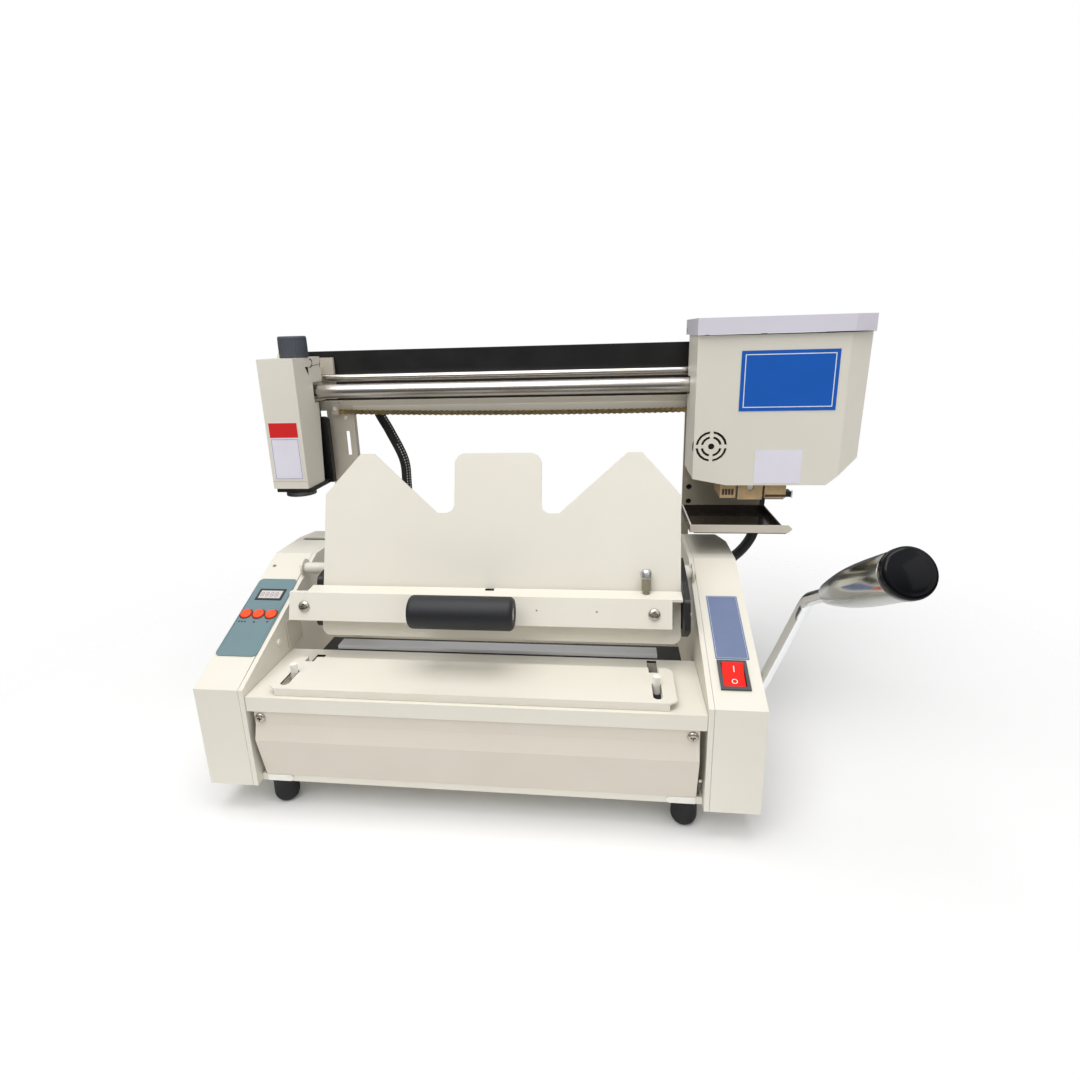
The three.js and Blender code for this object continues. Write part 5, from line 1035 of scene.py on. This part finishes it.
def braid_material():
    mat = new_material("braided_sleeve", srgb(20, 20, 21), 0.6)
    coords = add_node(mat, "ShaderNodeTexCoord")
    waves = []
    for sign in (1, -1):
        turn_to = (0, math.radians(45 * sign), math.radians(20 * sign))
        mapping = add_node(mat, "ShaderNodeMapping", Rotation=turn_to)
        join_nodes(mat, coords, "Object", mapping, "Vector")
        wave = add_node(mat, "ShaderNodeTexWave", Scale=260.0, Distortion=0.4, Detail=0.0)
        join_nodes(mat, mapping, "Vector", wave, "Vector")
        waves.append(wave)
    mix = add_node(mat, "ShaderNodeMath", operation="MULTIPLY")
    join_nodes(mat, waves[0], "Fac", mix, 0)
    join_nodes(mat, waves[1], "Fac", mix, 1)
    bump = add_node(mat, "ShaderNodeBump", Strength=0.8, Distance=0.0005)
    join_nodes(mat, mix, "Value", bump, "Height")
    join_shader(mat, bump, "Normal", "Normal")
    ramp = add_ramp(mat, (0.0, srgb(10, 10, 11)), (1.0, srgb(42, 42, 44)))
    join_nodes(mat, mix, "Value", ramp, "Fac")
    join_shader(mat, ramp, "Color", "Base Color")
    return mat


braid = braid_material()
sheath = new_material("cable_sheath", srgb(20, 20, 21), 0.48)
grain(sheath, 900.0, 0.15, 0.00005)
vary_roughness(sheath, 0.4, 0.56, 60.0)


STITCH, ONE_ROW = 3.3, 26
CABLE_RADIUS, CABLE_DIAMETER_M = 5.95, 0.0119


def tracer(name, route):
    """White stitches along the sleeve's right side, in two rows on its lower run."""
    verts, faces = [], []
    line = smooth_route(route, STITCH)
    side, second = V(0.86, -0.5, 0), V(0.45, -0.89, 0)
    for i, (p, (t, _, _)) in enumerate(zip(line, frames_along(line))):
        for out in ((side,) if i < ONE_ROW else (side, second)):
            out = (out - out.dot(t) * t).normalized()
            across = t.cross(out)
            faces += prism(len(verts), 8)
            for lift, radius in ((5.8, 0.72), (6.08, 0.6)):
                verts += [p + out * lift + (a * t + b * across) for a, b in circle(radius, 8)]
    return piece(name, verts, faces, white_print, "base", sharp=50)


def routed_cable(name, route, mat, node, with_pieces=()):
    line = smooth_route(route, 2.0)
    obj = tube(name, line, CABLE_RADIUS, mat, "base", "cable_black", n=32, sharp=60, replaces=(node,))


routed_cable("left_cable_sleeve", LEFT_ROUTE, braid, "left_cable", (tracer("left_cable_tracer", LEFT_ROUTE),))
routed_cable("right_cable_sheath", RIGHT_ROUTE, sheath, "right_cable")


# Studio: pale floor that fades into a white surround, soft light
FLOOR_HALF = 6.0
FADE_FROM, FADE_TO = 0.36, 0.9


def stage():
    mesh = bpy.data.meshes.new("floor")
    mesh.from_pydata(corners(-FLOOR_HALF, FLOOR_HALF, -FLOOR_HALF, FLOOR_HALF, (0,)), [], [disc(0, 4)])
    mat = drifting("floor_paper", (0.91, 0.91, 0.91), 0.85, 0.02, 1.5)
    coords = add_node(mat, "ShaderNodeTexCoord")
    length = add_node(mat, "ShaderNodeVectorMath", operation="LENGTH")
    join_nodes(mat, coords, "Object", length, 0)
    span = add_node(mat, "ShaderNodeMapRange", interpolation_type="SMOOTHSTEP",
                    From_Min=FADE_FROM, From_Max=FADE_TO)
    join_nodes(mat, length, "Value", span, "Value")
    clear = add_node(mat, "ShaderNodeBsdfTransparent")
    blend = add_node(mat, "ShaderNodeMixShader")
    join_nodes(mat, span, "Result", blend, 0)
    join_nodes(mat, mat.node_tree.nodes["Principled BSDF"], 0, blend, 1)
    join_nodes(mat, clear, 0, blend, 2)
    join_nodes(mat, blend, 0, mat.node_tree.nodes["Material Output"], "Surface")
    mesh.materials.append(mat)
    obj = bpy.data.objects.new("floor", mesh)
    bpy.context.scene.collection.objects.link(obj)
    obj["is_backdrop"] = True


stage()


def area_light(name, place, target, size, power):
    data = bpy.data.lights.new(name, "AREA")
    data.shape = "RECTANGLE"
    data.size, data.size_y = size
    data.energy = power
    obj = bpy.data.objects.new(name, data)
    aim = (Vector(target) - Vector(place)).to_track_quat("-Z", "Y")
    obj.matrix_world = Matrix.Translation(place) @ aim.to_matrix().to_4x4()
    bpy.context.scene.collection.objects.link(obj)


AIM = (0, 0, 0.2)
area_light("key", (-0.8, -1.6, 2.3), AIM, (1.6, 1.2), 22)
area_light("fill", (1.6, -1.5, 1.3), AIM, (1.4, 1.4), 4)
area_light("top", (0.0, -0.25, 2.3), AIM, (2.0, 1.2), 27)

# World: white where the camera sees it, a darker band at the horizon where metal mirrors it
world = bpy.data.worlds.new("studio")
bpy.context.scene.world = world
world.use_nodes = True
WHITE = (1.0, 1.0, 1.0, 1.0)
soft = world.node_tree.nodes["Background"]
soft.inputs["Color"].default_value = WHITE
soft.inputs["Strength"].default_value = 0.5
mirrored = add_node(world, "ShaderNodeBackground")
white = add_node(world, "ShaderNodeBackground", Color=WHITE, Strength=1.0)
coords = add_node(world, "ShaderNodeTexCoord")
split = add_node(world, "ShaderNodeSeparateXYZ")
ramp = add_ramp(world, (0.0, (0.12, 0.115, 0.11)), (0.75, WHITE[:3]), (0.22, (0.3, 0.295, 0.29)))
paths = add_node(world, "ShaderNodeLightPath")
for_metal = add_node(world, "ShaderNodeMixShader")
for_camera = add_node(world, "ShaderNodeMixShader")
for joint in (
    (coords, "Generated", split, 0), (split, "Z", ramp, "Fac"), (ramp, "Color", mirrored, "Color"),
    (paths, "Is Glossy Ray", for_metal, "Fac"), (soft, 0, for_metal, 1), (mirrored, 0, for_metal, 2),
    (paths, "Is Camera Ray", for_camera, "Fac"), (for_metal, 0, for_camera, 1), (white, 0, for_camera, 2),
    (for_camera, 0, world.node_tree.nodes["World Output"], "Surface"),
):
    join_nodes(world, *joint)

low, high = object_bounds()
